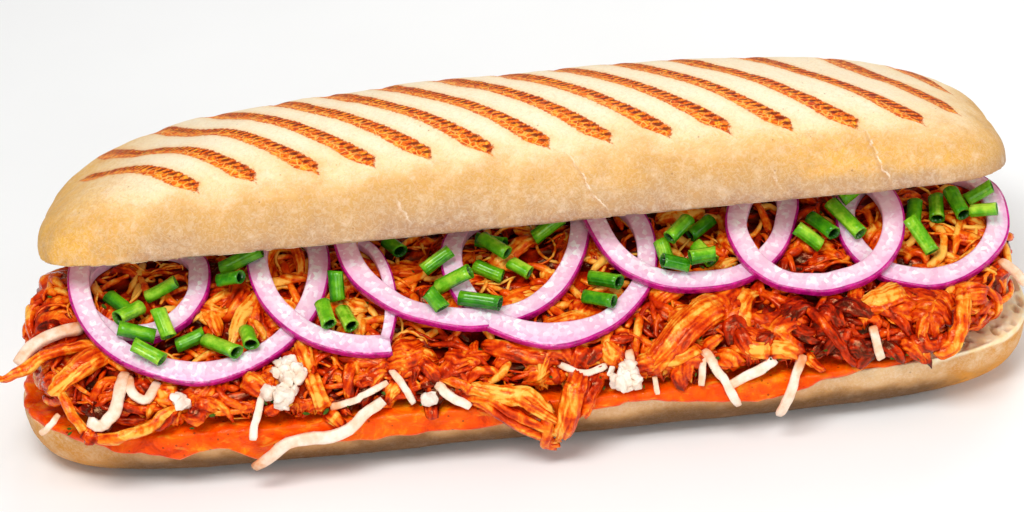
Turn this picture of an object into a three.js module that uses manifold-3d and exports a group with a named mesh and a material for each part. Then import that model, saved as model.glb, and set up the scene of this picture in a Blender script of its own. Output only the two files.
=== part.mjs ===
// A grilled panini filled with pulled chicken in orange sauce, red onion rings, chives and grated cheese.
// Lengths are in millimetres. +Z is up, the long side lies along X, and the open front faces -Y.
// The upper bread is tilted back, so the filling shows as a slope between the two cut edges.

import * as THREE from 'three';
import { mergeVertices } from 'three/addons/utils/BufferGeometryUtils.js';
import Module from 'manifold-3d';

const wasm = await Module();
wasm.setup();

// ---------------------------------------------------------------- driving dimensions

const GAP = 0.3; // clearance between pieces that touch

// Both breads are domes over a rounded oblong. endPower and sidePower square off its corners,
// shoulder and roundness shape the section, taper is how far in from the ends the crown line
// starts (in half-depths), crownDrop lowers the crown towards the ends, and flat is the share of the
// height at which the dome is cut off level.
const LOWER_BREAD = {
  halfLength: 131, halfDepth: 36.6, height: 18.1, endPower: 6.3, sidePower: 3.2,
  shoulder: 4.5, roundness: 2, taper: 0.7, crownDrop: 0, crownPower: 2, flat: 0.94, lip: 0.6,
};
const UPPER_BREAD = {
  halfLength: 126, halfDepth: 37.5, height: 29, endPower: 16, sidePower: 3.4,
  shoulder: 2.2, roundness: 2.7, taper: 2, crownDrop: 0.33, crownPower: 2.3, flat: 0.999, lip: 0.8,
};
const BREAD_POINTS = 60; // round the outline of a bread and of the sauce that folds over it
const RIM_HEIGHT = LOWER_BREAD.height * LOWER_BREAD.flat; // the lower bread's cut face
const UPPER_TILT = THREE.MathUtils.degToRad(13.5);
const UPPER_FRONT = { x: 3, y: -15.8, z: 56.8 }; // middle of its front cut edge

// The layer starts `inset` in from the rim and folds over it. At the front and the left end it
// reaches `drip` down the crust, give or take `wave`. Elsewhere it ends on the cut face, at `bare`.
const SAUCE = { thickness: 1.2, clearance: 0.45, inset: 12, drip: 4.6, wave: 2, bare: -2.5 };

// The bed of grated cheese on the sauce, whose strands hang out over the front rim.
const CHEESE = { halfLength: 124, halfDepth: 32, foot: 18.95, height: 2.4, edgeWave: 1, strand: 1.1 };
// x of each strand that shows, how far along X it drifts, and how far its end hangs below the rim:
// a negative one ends before it.
const CHEESE_STRANDS = [
  [-117, -7, -1], [-107, -4, -1], [-99, -3, -1], [-70, 24, 7], [-62, -5, 3], [-36, -6, -1],
  [-28, 8, -1], [24, 3, 2], [38, 3, 0], [50, 8, 2], [57, 7, 4], [66, -7, 1], [74, -6, 5], [99, 4, 0],
];
// Crumbled lumps of the cheese at the rim: x and radius.
const CHEESE_LUMPS = [[-60, 4], [-55, 3.2], [28, 3.8], [32, 2.8], [62, 2.6], [-27, 2.6]];

// Side view of the heap of filling, from its foot behind the front rim to its foot at the back:
// a steep face, a slope of about 27 degrees up to the upper bread, and a fall under that bread.
const HEAP_PROFILE = [
  [-35, 23], [-31, 27.5], [-15, 36], [-2, 41.8], [8, 42.5], [20, 39], [35, 35.2],
];
const HEAP = { halfLength: 126.5, halfDepth: 34.6, foot: 21.65, lump: 1.2 };
const FILLING_POINTS = 36; // round the outline of the heap and of the cheese
// The same outline carried down the front and the back face, which the shreds follow.
const SHRED_PROFILE = [[-35.2, 19.8], ...HEAP_PROFILE, [36, 28], [35.4, 20.5]];

// Onion slices in the order they were laid: x, distance up the heap from its front foot, and radius
// of each, and for a piece of a ring the arc that is left of it, in degrees.
const ONION = { width: 5.4, thickness: 2.3, segmentAngle: 12, climb: 10 };
const ONION_SLICES = [
  { name: 'onion_a', x: -97, up: 38, radius: 18.2 },
  { name: 'onion_b', x: -81.5, up: 39.5, radius: 33.5 },
  { name: 'onion_c', x: -37.5, up: 40, radius: 31.5, arc: [150, 278] },
  { name: 'onion_d', x: -67, up: 24, radius: 36, width: 3, arc: [-20, 36] },
  { name: 'onion_e', x: -13, up: 45, radius: 33.3 },
  { name: 'onion_f', x: 8.5, up: 33.7, radius: 27.8, arc: [138, 400] },
  { name: 'onion_g', x: 46, up: 45.4, radius: 28.2 },
  { name: 'onion_h', x: 104.6, up: 35.5, radius: 22.2 },
  { name: 'onion_i', x: 77, up: 34.8, radius: 22.6 },
];

// Cut chives, in loose bunches: x, distance up the heap, heading in degrees, and length of each.
const CHIVE = { radius: 2.1, bore: 1.45, sides: 6 };
const CHIVE_BUNCHES = [
  [[-102, 32, -45, 8], [-91, 34, 14, 9], [-99, 27, 38, 8]],
  [[-97, 20, -12, 10], [-94, 13, -30, 9], [-90, 21, -72, 8], [-84, 19, 22, 8], [-76, 15, -36, 11]],
  [[-69, 17, -77, 7], [-70, 38, 14, 12], [-73, 33, -11, 7]],
  [[-46, 29, -91, 8], [-49, 20, -78, 8], [-44, 20, -72, 8]],
  [[-31, 42, -53, 6], [-20, 32, 24, 9], [-16, 25, 9, 10], [-10, 18, -16, 11], [-21, 18, -50, 6]],
  [[-6, 40, -22, 8], [-5, 36, -40, 9], [-7, 31, -32, 8], [1, 31, -39, 6], [9, 41, 21, 9]],
  [[22, 24, -30, 9], [20, 18, -29, 9]],
  [[38, 30, -77, 8], [42, 34, 41, 8], [48, 38, 38, 8], [48, 30, -56, 7], [40, 24, -10, 7], [47, 24, 8, 7]],
  [[75, 31, -37, 8], [79, 34, -57, 10], [85, 34, -58, 13], [88, 41, 24, 8]],
  [[103, 36, -104, 8], [103, 27, -61, 11], [109, 37, -98, 8], [114, 36, -75, 9]],
  [[120, 38, 13, 8], [120, 32, -16, 7]],
];

// Shreds of chicken on the heap: how many are tried, the ranges of their sizes, the share that lies
// on the front, how far up the heap the front and the back ones lie, and how deep they sink in.
const SHRED = {
  tries: 130, length: [14, 30], halfThickness: [1.2, 2.2], halfWidth: [1.8, 3.8], bend: 0.9,
  frontShare: 0.72, front: [0, 46], back: [76, 98], sunk: 0.3, endTaper: 0.55,
};
// Shreds that hang over the front rim: x, drift along X, drop below the rim, half width, half thickness.
const HANGING_SHREDS = [
  [-20, 22, 6, 1.4, 1], [-17, 24, 9, 1.7, 1.2], [-12, 22, 11, 1.5, 1.1], [-9, 16, 12, 1.8, 1.2],
  [-2, 10, 12, 1.4, 1], [-113, 20, 3, 1.4, 1.1], [-55, 4, 4, 1.8, 1.2], [104, 5, 2, 1.8, 1.2],
  [110, -3, 3, 1.6, 1.2], [83, 4, 3, 2, 1.3],
];

const COLOURS = {
  lowerBread: 0xdcb88e, upperBread: 0xf3dcae, sauce: 0xe2571a, chicken: 0xd9701f,
  cheese: 0xf7e6cf, onion: 0xf1c3d9, chive: 0x3f9a2c,
};

// ---------------------------------------------------------------- helpers

// Seeded random numbers, so that the heap is the same each time.
function makeRandom(seed) {
  let state = seed;
  const next = () => {
    state = (state * 1664525 + 1013904223) % 4294967296;
    return state / 4294967296;
  };
  return { next, between: (low, high) => low + (high - low) * next() };
}

const signedPower = (value, power) => Math.sign(value) * Math.abs(value) ** power;

// A smooth unevenness between -1 and 1, of three waves: height, share of x, share of y and start.
const UNEVEN_WAVES = [[0.4, 0.13, 0.21, 0], [0.35, 0.29, -0.17, 2.1], [0.25, 0.47, 0.41, 4.4]];
function unevenness(x, y, phase = 0) {
  return UNEVEN_WAVES.reduce((sum, [height, alongX, alongY, start]) => (
    sum + height * Math.sin(alongX * x + alongY * y + start + phase)
  ), 0);
}

// The plan outline, evenly divided by length and by turning, so that the corners get enough points.
function planLoop({ halfLength, halfDepth, endPower, sidePower }, count) {
  const dense = [];
  const steps = 720;
  const tiny = 1e-9;
  for (let i = 0; i <= steps; i++) {
    const angle = (i / steps) * Math.PI * 2;
    const x = halfLength * signedPower(Math.cos(angle), 2 / endPower);
    const y = halfDepth * signedPower(Math.sin(angle), 2 / sidePower);
    dense.push(new THREE.Vector2(x, y));
  }
  const length = dense.slice(1).reduce((sum, point, i) => sum + point.distanceTo(dense[i]), 0);
  const weights = [0];
  for (let i = 1; i <= steps; i++) {
    const step = dense[i].clone().sub(dense[i - 1]);
    const before = dense[i - 1].clone().sub(dense[(i - 2 + steps) % steps]);
    const turn = Math.abs(before.cross(step)) / (before.length() * step.length() + tiny);
    weights.push(weights[i - 1] + step.length() / length + Math.asin(Math.min(turn, 1)) / (2 * Math.PI));
  }
  const loop = [];
  for (let k = 0, i = 1; k < count; k++) {
    const target = (k / count) * weights[steps];
    while (weights[i] < target) i++;
    const share = (target - weights[i - 1]) / (weights[i] - weights[i - 1]);
    loop.push(dense[i - 1].clone().lerp(dense[i], share));
  }
  return loop;
}

function closedGeometry(positions, faces) {
  const geometry = new THREE.BufferGeometry();
  geometry.setAttribute('position', new THREE.Float32BufferAttribute(positions, 3));
  geometry.setIndex(faces);
  return geometry;
}

// Closes a stack of loops with equal counts, lowest first, into one body. Each end is capped by
// strips across its depth. Loops run anticlockwise seen from above, from their +X end.
function skinLoops(loops) {
  const count = loops[0].length;
  const positions = loops.flat().flatMap((point) => [point.x, point.y, point.z]);
  const faces = [];
  for (let j = 0; j + 1 < loops.length; j++) {
    for (let i = 0; i < count; i++) {
      const next = (i + 1) % count;
      const [a, b] = [j * count + i, j * count + next];
      faces.push(a, b, b + count, a, b + count, a + count);
    }
  }
  const top = (loops.length - 1) * count;
  for (let i = 0; i < count / 2; i++) {
    const strip = [i, i + 1, count - i - 1, (count - i) % count];
    for (const [p, q, r] of [[0, 1, 2], [0, 2, 3]]) {
      const [u, v, w] = [strip[p], strip[q], strip[r]];
      if (u === v || v === w || u === w) continue;
      faces.push(top + u, top + v, top + w, w, v, u);
    }
  }
  return closedGeometry(positions, faces);
}

function toSolid(geometry) {
  const bare = new THREE.BufferGeometry();
  bare.setAttribute('position', geometry.getAttribute('position'));
  if (geometry.index) bare.setIndex(geometry.index);
  const mergeWithin = 1e-4;
  const merged = mergeVertices(bare, mergeWithin);
  const vertProperties = new Float32Array(merged.getAttribute('position').array);
  const triVerts = new Uint32Array(merged.index.array);
  return new wasm.Manifold(new wasm.Mesh({ numProp: 3, vertProperties, triVerts }));
}

function toGeometry(solid) {
  const mesh = solid.getMesh();
  return closedGeometry(mesh.vertProperties, Array.from(mesh.triVerts));
}

// The largest body of a solid: a loose scrap that a cut leaves is dropped.
function largestBody(solid) {
  return solid.decompose().sort((a, b) => b.volume() - a.volume())[0];
}

const overlaps = (a, b) => !a.intersect(b).isEmpty();

// A tube of even section along points: each ring has `sides` corners, flattened along `normal`.
function tube(points, normals, sides, halfWidth, halfThickness, taper = 1) {
  const rings = points.map((point, i) => {
    const before = points[Math.max(i - 1, 0)];
    const after = points[Math.min(i + 1, points.length - 1)];
    const along = after.clone().sub(before).normalize();
    const across = along.clone().cross(normals[i]).normalize();
    const up = across.clone().cross(along);
    const end = i === 0 || i === points.length - 1 ? taper : 1;
    return Array.from({ length: sides }, (_, k) => {
      const angle = ((k + 0.5) / sides) * Math.PI * 2;
      return point.clone()
        .addScaledVector(across, Math.cos(angle) * halfWidth * end)
        .addScaledVector(up, Math.sin(angle) * halfThickness * end);
    });
  });
  const positions = rings.flat().flatMap((point) => [point.x, point.y, point.z]);
  const faces = [];
  for (let j = 0; j + 1 < rings.length; j++) {
    for (let k = 0; k < sides; k++) {
      const [a, b] = [j * sides + k, j * sides + ((k + 1) % sides)];
      faces.push(a, b + sides, b, a, a + sides, b + sides);
    }
  }
  const last = (rings.length - 1) * sides;
  for (let k = 1; k + 1 < sides; k++) {
    faces.push(0, k, k + 1, last, last + k + 1, last + k);
  }
  return closedGeometry(positions, faces);
}

// ---------------------------------------------------------------- bread

// A loop of the dome at a share of its height, from 0 at the cut edge to 1 on the crown line.
function domeLoop(bread, plan, heightShare) {
  const spread = (1 - heightShare ** bread.roundness) ** (1 / bread.shoulder);
  const crownHalf = (bread.halfLength - bread.taper * bread.halfDepth) / bread.halfLength;
  const lip = heightShare === 0 ? 1 - bread.lip / bread.halfDepth : 1;
  return plan.map((edge) => {
    const crownX = edge.x * crownHalf;
    const x = crownX + (edge.x - crownX) * spread * lip;
    const y = edge.y * spread * lip;
    const drop = 1 - bread.crownDrop * Math.abs(x / bread.halfLength) ** bread.crownPower;
    return new THREE.Vector3(x, y, bread.height * drop * heightShare);
  });
}

function domeGeometry(bread, count, levels) {
  const plan = planLoop(bread, count);
  const aboveLip = 0.07;
  const shares = [0, aboveLip];
  for (let k = 1; k <= levels; k++) {
    shares.push(Math.sin((k / levels) * (Math.PI / 2)) * bread.flat);
  }
  return skinLoops(shares.map((share) => domeLoop(bread, plan, share)));
}

// The lower bread lies on its crown side, which is flat, with the cut face up.
function lowerBread() {
  const geometry = domeGeometry(LOWER_BREAD, BREAD_POINTS, 6);
  geometry.rotateX(Math.PI);
  geometry.translate(0, 0, RIM_HEIGHT);
  return toSolid(geometry);
}

// The upper bread, in its own frame with the cut face at z = 0.
function upperBread() {
  return toSolid(domeGeometry(UPPER_BREAD, BREAD_POINTS, 8));
}

const upperPlacement = new THREE.Matrix4()
  .makeTranslation(
    UPPER_FRONT.x,
    UPPER_FRONT.y + UPPER_BREAD.halfDepth * Math.cos(UPPER_TILT),
    UPPER_FRONT.z - UPPER_BREAD.halfDepth * Math.sin(UPPER_TILT),
  )
  .multiply(new THREE.Matrix4().makeRotationX(-UPPER_TILT));

// ---------------------------------------------------------------- sauce

// How far down the crust the sauce ends at a point of the rim: most at the front and the left end,
// and little at the right.
function sauceEnd(edge) {
  const { lerp, smoothstep } = THREE.MathUtils;
  const rightShare = 0.15;
  const front = smoothstep(-edge.y, 0, 22) * lerp(1, rightShare, smoothstep(edge.x, 50, 112));
  const left = smoothstep(-edge.x, 100, 126) * smoothstep(-edge.y, -22, 6);
  const ripple = SAUCE.wave * unevenness(1.3 * edge.x, 1.3 * edge.y, 1);
  return lerp(SAUCE.bare, SAUCE.drip + ripple, Math.max(front, left));
}

// A point on the lower bread: `reach` down its side from the rim, or in from the rim if negative.
function onLowerBread(edge, reach) {
  const { halfDepth, halfLength, height, roundness, shoulder, taper } = LOWER_BREAD;
  const crownX = (edge.x * (halfLength - taper * halfDepth)) / halfLength;
  const down = Math.max(reach, 0);
  const side = (1 - (down / height) ** roundness) ** (1 / shoulder);
  const spread = reach < 0 ? 1 + reach / halfDepth : side;
  return new THREE.Vector3(crownX + (edge.x - crownX) * spread, edge.y * spread, RIM_HEIGHT - down);
}

// The horizontal direction that the lower bread's side faces at a point of its rim.
function facing(edge) {
  const { halfLength, halfDepth, endPower, sidePower } = LOWER_BREAD;
  const x = signedPower(edge.x / halfLength, endPower - 1) / halfLength;
  const y = signedPower(edge.y / halfDepth, sidePower - 1) / halfDepth;
  return new THREE.Vector3(x, y, 0).normalize();
}

// One layer over the cut face that folds over the rim and ends in an uneven lower edge.
function sauceLayer() {
  const plan = planLoop(LOWER_BREAD, BREAD_POINTS);
  const offsetLoop = (offset, distance) => plan.map((edge) => {
    const at = distance(sauceEnd(edge));
    const lean = THREE.MathUtils.smoothstep(at, -1.5, 2);
    const upward = new THREE.Vector3(0, 0, 1 - lean);
    const direction = upward.addScaledVector(facing(edge), lean).normalize();
    return onLowerBread(edge, at).addScaledVector(direction, offset);
  });
  const inner = SAUCE.clearance;
  const outer = inner + SAUCE.thickness;
  const flat = () => -SAUCE.inset;
  const rim = (end) => Math.min(end, 0) - 0.4;
  const middle = (end) => (end > 0 ? end * 0.5 : end - 0.2);
  const tip = (end) => end;
  const roundedTip = (end) => end - 0.1;
  return toSolid(skinLoops([
    offsetLoop(inner, flat), offsetLoop(inner, rim), offsetLoop(inner, middle), offsetLoop(inner, tip),
    offsetLoop(outer * 0.8, roundedTip), offsetLoop(outer, middle), offsetLoop(outer, rim),
    offsetLoop(outer, flat),
  ]));
}

// ---------------------------------------------------------------- heap of chicken

function profileCurve(profile) {
  const curve = new THREE.CatmullRomCurve3(profile.map(([y, z]) => new THREE.Vector3(0, y, z)));
  curve.arcLengthDivisions = 800;
  return curve;
}

const heapCurve = profileCurve(HEAP_PROFILE);
const shredCurve = profileCurve(SHRED_PROFILE);
const heapSamples = heapCurve.getPoints(400);

// Height of the heap's top over y.
function profileHeight(y) {
  const after = heapSamples.findIndex((point) => point.y >= y);
  if (after <= 0) return after === 0 ? heapSamples[0].z : heapSamples.at(-1).z;
  const [a, b] = [heapSamples[after - 1], heapSamples[after]];
  return a.z + ((b.z - a.z) * (y - a.y)) / (b.y - a.y);
}

// The point and the normal at x and a distance up a profile from its front foot.
function onProfile(curve, x, up, lift) {
  const length = curve.getLength();
  const share = THREE.MathUtils.clamp(up / length, 0, 1);
  const uphill = curve.getTangentAt(share);
  const normal = new THREE.Vector3(0, -uphill.z, uphill.y);
  const point = curve.getPointAt(share).setX(x);
  point.addScaledVector(uphill, up - share * length).addScaledVector(normal, lift);
  return { point, normal };
}

const onHeap = (x, up, lift) => onProfile(heapCurve, x, up, lift);

// The bare heap: steep at its edges, lumpy, and under the profile that the onion slices rest on.
// Each loop has its share of the outline and of the height, from the foot to the middle of the top.
const HEAP_LOOPS = [
  [0.97, 0], [1, 0.3], [0.985, 0.7], [0.93, 0.95], [0.8, 1], [0.58, 1], [0.34, 1], [0.1, 1],
];
function heapCore() {
  const plan = planLoop({ ...LOWER_BREAD, ...HEAP }, FILLING_POINTS);
  const crownHalf = (HEAP.halfLength - HEAP.halfDepth) / HEAP.halfLength;
  const loop = (spread, rise) => plan.map((edge) => {
    const crownX = edge.x * crownHalf;
    const x = crownX + (edge.x - crownX) * spread;
    const y = edge.y * spread;
    const dip = HEAP.lump * (0.5 + 0.5 * unevenness(1.7 * x, 1.7 * y, 3));
    return new THREE.Vector3(x, y, HEAP.foot + rise * (profileHeight(y) - dip - HEAP.foot));
  });
  return toSolid(skinLoops(HEAP_LOOPS.map(([spread, rise]) => loop(spread, rise))));
}

// ---------------------------------------------------------------- onion and chives

// How high the underside of a slice lies over the heap at an angle: it climbs over earlier slices.
function sliceLift(slice, angle, earlier) {
  const middle = slice.radius - slice.width / 2;
  const x = slice.x + middle * Math.cos(angle);
  const up = slice.up + middle * Math.sin(angle);
  return earlier.reduce((lift, other) => {
    const away = clearanceFrom(other, x, up) - slice.width / 2;
    const over = 1 - THREE.MathUtils.smoothstep(away, 0, ONION.climb);
    return Math.max(lift, over * (topAt(other, x, up) + GAP));
  }, GAP);
}

// The height of a laid slice's upper side over the heap, at the angle of a place.
function topAt(slice, x, up) {
  return slice.liftAt(Math.atan2(up - slice.up, x - slice.x)) + ONION.thickness;
}

// How far a place on the heap lies from the band of a slice, and zero or less on it.
function clearanceFrom({ x, up, radius, width, arc }, placeX, placeUp) {
  const [dx, dUp] = [placeX - x, placeUp - up];
  const fromBand = Math.abs(Math.hypot(dx, dUp) - (radius - width / 2)) - width / 2;
  if (!arc) return fromBand;
  const middle = THREE.MathUtils.degToRad((arc[0] + arc[1]) / 2);
  const half = THREE.MathUtils.degToRad((arc[1] - arc[0]) / 2);
  const turn = new THREE.Vector2(dx, dUp).rotateAround(new THREE.Vector2(), -middle).angle();
  const beyond = Math.min(turn, 2 * Math.PI - turn) - half;
  return Math.max(fromBand, beyond * radius);
}

// A slice of onion, bent over the heap. A whole ring closes on itself and an arc has two cut ends.
function onionSlice({ x, up, radius, width, arc }, liftAt) {
  const [from, to] = arc ?? [0, 360];
  const steps = Math.round((to - from) / ONION.segmentAngle);
  const rings = steps + (arc ? 1 : 0);
  const section = [[0, 0], [0, 1], [1, 1], [1, 0]];
  const positions = [];
  for (let i = 0; i < rings; i++) {
    const angle = THREE.MathUtils.degToRad(from + ((to - from) * i) / steps);
    const lift = liftAt(angle);
    for (const [inward, high] of section) {
      const r = radius - inward * width;
      const height = lift + high * ONION.thickness;
      const { point } = onHeap(x + r * Math.cos(angle), up + r * Math.sin(angle), height);
      positions.push(point.x, point.y, point.z);
    }
  }
  const faces = [];
  for (let i = 0; i < steps; i++) {
    for (let k = 0; k < 4; k++) {
      const [a, b] = [i * 4 + k, i * 4 + ((k + 1) % 4)];
      const [c, d] = [((i + 1) % rings) * 4 + k, ((i + 1) % rings) * 4 + ((k + 1) % 4)];
      faces.push(a, c, d, a, d, b);
    }
  }
  if (arc) {
    const last = (rings - 1) * 4;
    faces.push(0, 1, 2, 0, 2, 3, last, last + 2, last + 1, last, last + 3, last + 2);
  }
  return toSolid(closedGeometry(positions, faces));
}

// A short cut tube of chive that leans from what lies under one end to what lies under the other.
function chivePiece([x, up, heading, length], slices, raise) {
  const { radius, bore, sides } = CHIVE;
  const angle = THREE.MathUtils.degToRad(heading);
  const end = (side) => {
    const endX = x + (side * length * Math.cos(angle)) / 2;
    const endUp = up + (side * length * Math.sin(angle)) / 2;
    const under = slices.filter((slice) => clearanceFrom(slice, endX, endUp) < radius);
    const lift = under.reduce((highest, slice) => Math.max(highest, topAt(slice, endX, endUp)), 0);
    return onHeap(endX, endUp, lift + GAP + radius + raise);
  };
  const [tail, head] = [end(-1), end(1)];
  const along = head.point.clone().sub(tail.point).normalize();
  const across = along.clone().cross(tail.normal).normalize();
  const profile = [[bore, -0.5], [radius, -0.5], [radius, 0.5], [bore, 0.5], [bore, -0.5]];
  const points = profile.map(([r, share]) => new THREE.Vector2(r, share * length));
  const geometry = new THREE.LatheGeometry(points, sides);
  const middle = tail.point.clone().lerp(head.point, 0.5);
  geometry.applyMatrix4(new THREE.Matrix4().makeBasis(across, along, across.clone().cross(along)));
  geometry.translate(middle.x, middle.y, middle.z);
  return toSolid(geometry);
}

// Raises a piece in small steps until it clears everything below it, or gives up.
function settle(build, below) {
  const step = 0.2;
  const highest = 8;
  for (let raise = 0; raise < highest; raise += step) {
    const solid = build(raise);
    if (!below.some((other) => overlaps(solid, other))) return { solid: build(raise + GAP), raise };
  }
  return null;
}

// ---------------------------------------------------------------- shreds and cheese

// A bent strip that hugs the heap about a place on it. `fat` widens it, to test for clearance.
function shredGeometry({ x, up, heading, bend, length, halfWidth, halfThickness }, fat) {
  const steps = 3;
  const end = HEAP.halfLength - 1.5; // beyond it a shred bends down the end of the heap
  const reach = end + 2;
  const lowest = HEAP.foot + halfThickness + GAP;
  const points = [];
  const normals = [];
  for (let i = 0; i <= steps; i++) {
    const along = (i / steps - 0.5) * length;
    const turn = heading + (bend * along) / length;
    const shredX = x + along * Math.cos(turn);
    const shredUp = up + along * Math.sin(turn);
    const beyond = Math.max(Math.abs(shredX) - end, 0);
    const held = THREE.MathUtils.clamp(shredX, -reach, reach);
    const { point, normal } = onProfile(shredCurve, held, shredUp, -SHRED.sunk * halfThickness);
    points.push(point.setZ(Math.max(point.z - 0.8 * beyond, lowest)));
    normals.push(normal);
  }
  return tube(points, normals, 4, halfWidth + fat, halfThickness + fat, SHRED.endTaper);
}

// A strip from a start inside the filling, out over the front rim at x, and down the sauce outside.
function hangingStrip(start, x, drift, hang, halfWidth, halfThickness, fat) {
  const rimY = -LOWER_BREAD.halfDepth;
  const over = SAUCE.thickness + 3 * GAP + halfThickness;
  const top = RIM_HEIGHT + over;
  const path = new THREE.CatmullRomCurve3([
    start,
    new THREE.Vector3(x + drift * 0.15, rimY + 3, Math.max(top, start.z - 0.5)),
    new THREE.Vector3(x + drift * 0.5, rimY - 0.75 * over, top + 0.2),
    new THREE.Vector3(x + drift, rimY - over - 0.6, RIM_HEIGHT + 0.8 - hang),
  ]);
  const points = path.getSpacedPoints(5).slice(0, hang < 0 ? 4 : undefined);
  const normals = points.map(({ y }) => new THREE.Vector3(0, Math.min(0, y - rimY), over).normalize());
  return toSolid(tube(points, normals, 4, halfWidth + fat, halfThickness + fat, SHRED.endTaper));
}

// The heap with shreds fused on, where they stay clear of the pieces around it.
function shreddedHeap(core, around) {
  const random = makeRandom(7);
  const goldenShare = 0.618034; // spreads the shreds evenly along the heap
  let heap = core;
  for (let i = 0; i < SHRED.tries; i++) {
    const shred = {
      x: HEAP.halfLength * (2 * ((i * goldenShare) % 1) - 1),
      up: random.between(...(random.next() < SHRED.frontShare ? SHRED.front : SHRED.back)),
      heading: random.between(-1, 1) * random.between(0.2, 1.3),
      bend: random.between(-SHRED.bend, SHRED.bend),
      length: random.between(...SHRED.length),
      halfWidth: random.between(...SHRED.halfWidth),
      halfThickness: random.between(...SHRED.halfThickness),
    };
    if (around.some((other) => overlaps(toSolid(shredGeometry(shred, GAP)), other))) continue;
    const solid = toSolid(shredGeometry(shred, 0));
    if (overlaps(solid, core)) heap = heap.add(solid);
  }
  for (const [x, drift, hang, halfWidth, halfThickness] of HANGING_SHREDS) {
    const start = new THREE.Vector3(x * 0.98, 5 - HEAP.halfDepth, HEAP.foot + 3.5);
    const strip = (fat) => hangingStrip(start, x, drift, hang, halfWidth, halfThickness, fat);
    if (!around.some((other) => overlaps(strip(GAP / 2), other))) heap = heap.add(strip(0));
  }
  return largestBody(heap);
}

// The crumbled lumps of cheese. `fat` gives the simpler, larger forms that the heap leaves free.
function cheeseLumps(fat) {
  const { halfDepth, foot } = CHEESE;
  const aroundLump = 1.26; // an icosahedron this much larger holds the rounder one
  return CHEESE_LUMPS.map(([x, radius]) => {
    const lump = fat
      ? new THREE.IcosahedronGeometry((radius + fat) * aroundLump, 0)
      : new THREE.IcosahedronGeometry(radius, 1);
    lump.scale(1, 0.8, 0.8);
    lump.translate(x, -halfDepth - 0.55 * radius, foot + 0.8 * radius);
    return toSolid(lump);
  }).reduce((all, lump) => all.add(lump));
}

// The cheese: a bed that runs through the food, with the strands that hang out of its front.
function cheeseBed() {
  const { halfDepth, foot, height, edgeWave, strand } = CHEESE;
  const plan = planLoop({ ...LOWER_BREAD, ...CHEESE }, FILLING_POINTS);
  const loop = (spread, z) => plan.map((edge, i) => {
    const wave = (edgeWave / halfDepth) * unevenness(11 * i, 7 * i);
    return new THREE.Vector3(edge.x * (spread + wave * 0.3), edge.y * (spread + wave), z);
  });
  const sides = [loop(0.97, foot), loop(1, foot + height * 0.4), loop(0.95, foot + height)];
  const bed = toSolid(skinLoops(sides));
  const strands = CHEESE_STRANDS.map(([x, drift, hang]) => {
    const start = new THREE.Vector3(x * 0.93, -0.6 * halfDepth, foot + height * 0.5);
    return hangingStrip(start, x, drift, hang, strand, strand, 0);
  });
  return strands.reduce((all, solid) => all.add(solid), bed.add(cheeseLumps(0)));
}

// ---------------------------------------------------------------- assembly

const panini = new THREE.Group();
panini.name = 'panini';

function addPiece(name, geometry, colour, roughness) {
  const material = new THREE.MeshStandardMaterial({ color: colour, roughness, metalness: 0 });
  const mesh = new THREE.Mesh(geometry, material);
  mesh.name = name;
  panini.add(mesh);
  return mesh;
}

const lower = lowerBread();
addPiece('bread_lower', toGeometry(lower), COLOURS.lowerBread, 0.85);

const upperLocal = upperBread();
const upperMesh = addPiece('bread_upper', toGeometry(upperLocal), COLOURS.upperBread, 0.8);
upperMesh.rotation.x = -UPPER_TILT;
upperMesh.position.setFromMatrixPosition(upperPlacement);
const upper = toSolid(toGeometry(upperLocal).applyMatrix4(upperPlacement));

const sauce = sauceLayer();
addPiece('sauce', toGeometry(sauce), COLOURS.sauce, 0.25);

const core = largestBody(heapCore().subtract(cheeseLumps(GAP)));

const below = [core];
const slices = [];
for (const placed of ONION_SLICES) {
  const slice = { width: ONION.width, ...placed };
  const earlier = [...slices];
  const restingLift = (angle) => sliceLift(slice, angle, earlier);
  const settled = settle((raise) => onionSlice(slice, (angle) => restingLift(angle) + raise), below);
  slice.liftAt = (angle) => restingLift(angle) + settled.raise + GAP;
  slices.push(slice);
  below.push(settled.solid);
  addPiece(slice.name, toGeometry(settled.solid), COLOURS.onion, 0.35);
}
CHIVE_BUNCHES.flat().forEach((chive, i) => {
  const settled = settle((lift) => chivePiece(chive, slices, lift), [...below, upper]);
  if (!settled) return;
  below.push(settled.solid);
  addPiece(`chive_${String(i + 1).padStart(2, '0')}`, toGeometry(settled.solid), COLOURS.chive, 0.4);
});

const cheese = cheeseBed();
addPiece('cheese', toGeometry(cheese), COLOURS.cheese, 0.5);
const chicken = shreddedHeap(core, [...below.slice(1), upper, sauce, cheese]);
addPiece('chicken', toGeometry(chicken), COLOURS.chicken, 0.35);

// The part stands on Z = 0, with the middle of its box over the origin.
const box = new THREE.Box3().setFromObject(panini, true);
const centre = box.getCenter(new THREE.Vector3());
panini.position.set(-centre.x, -centre.y, -box.min.z);

export default panini;
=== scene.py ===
import math

import bpy
import numpy as np
from mathutils import Matrix, Vector
from mathutils.bvhtree import BVHTree


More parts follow.
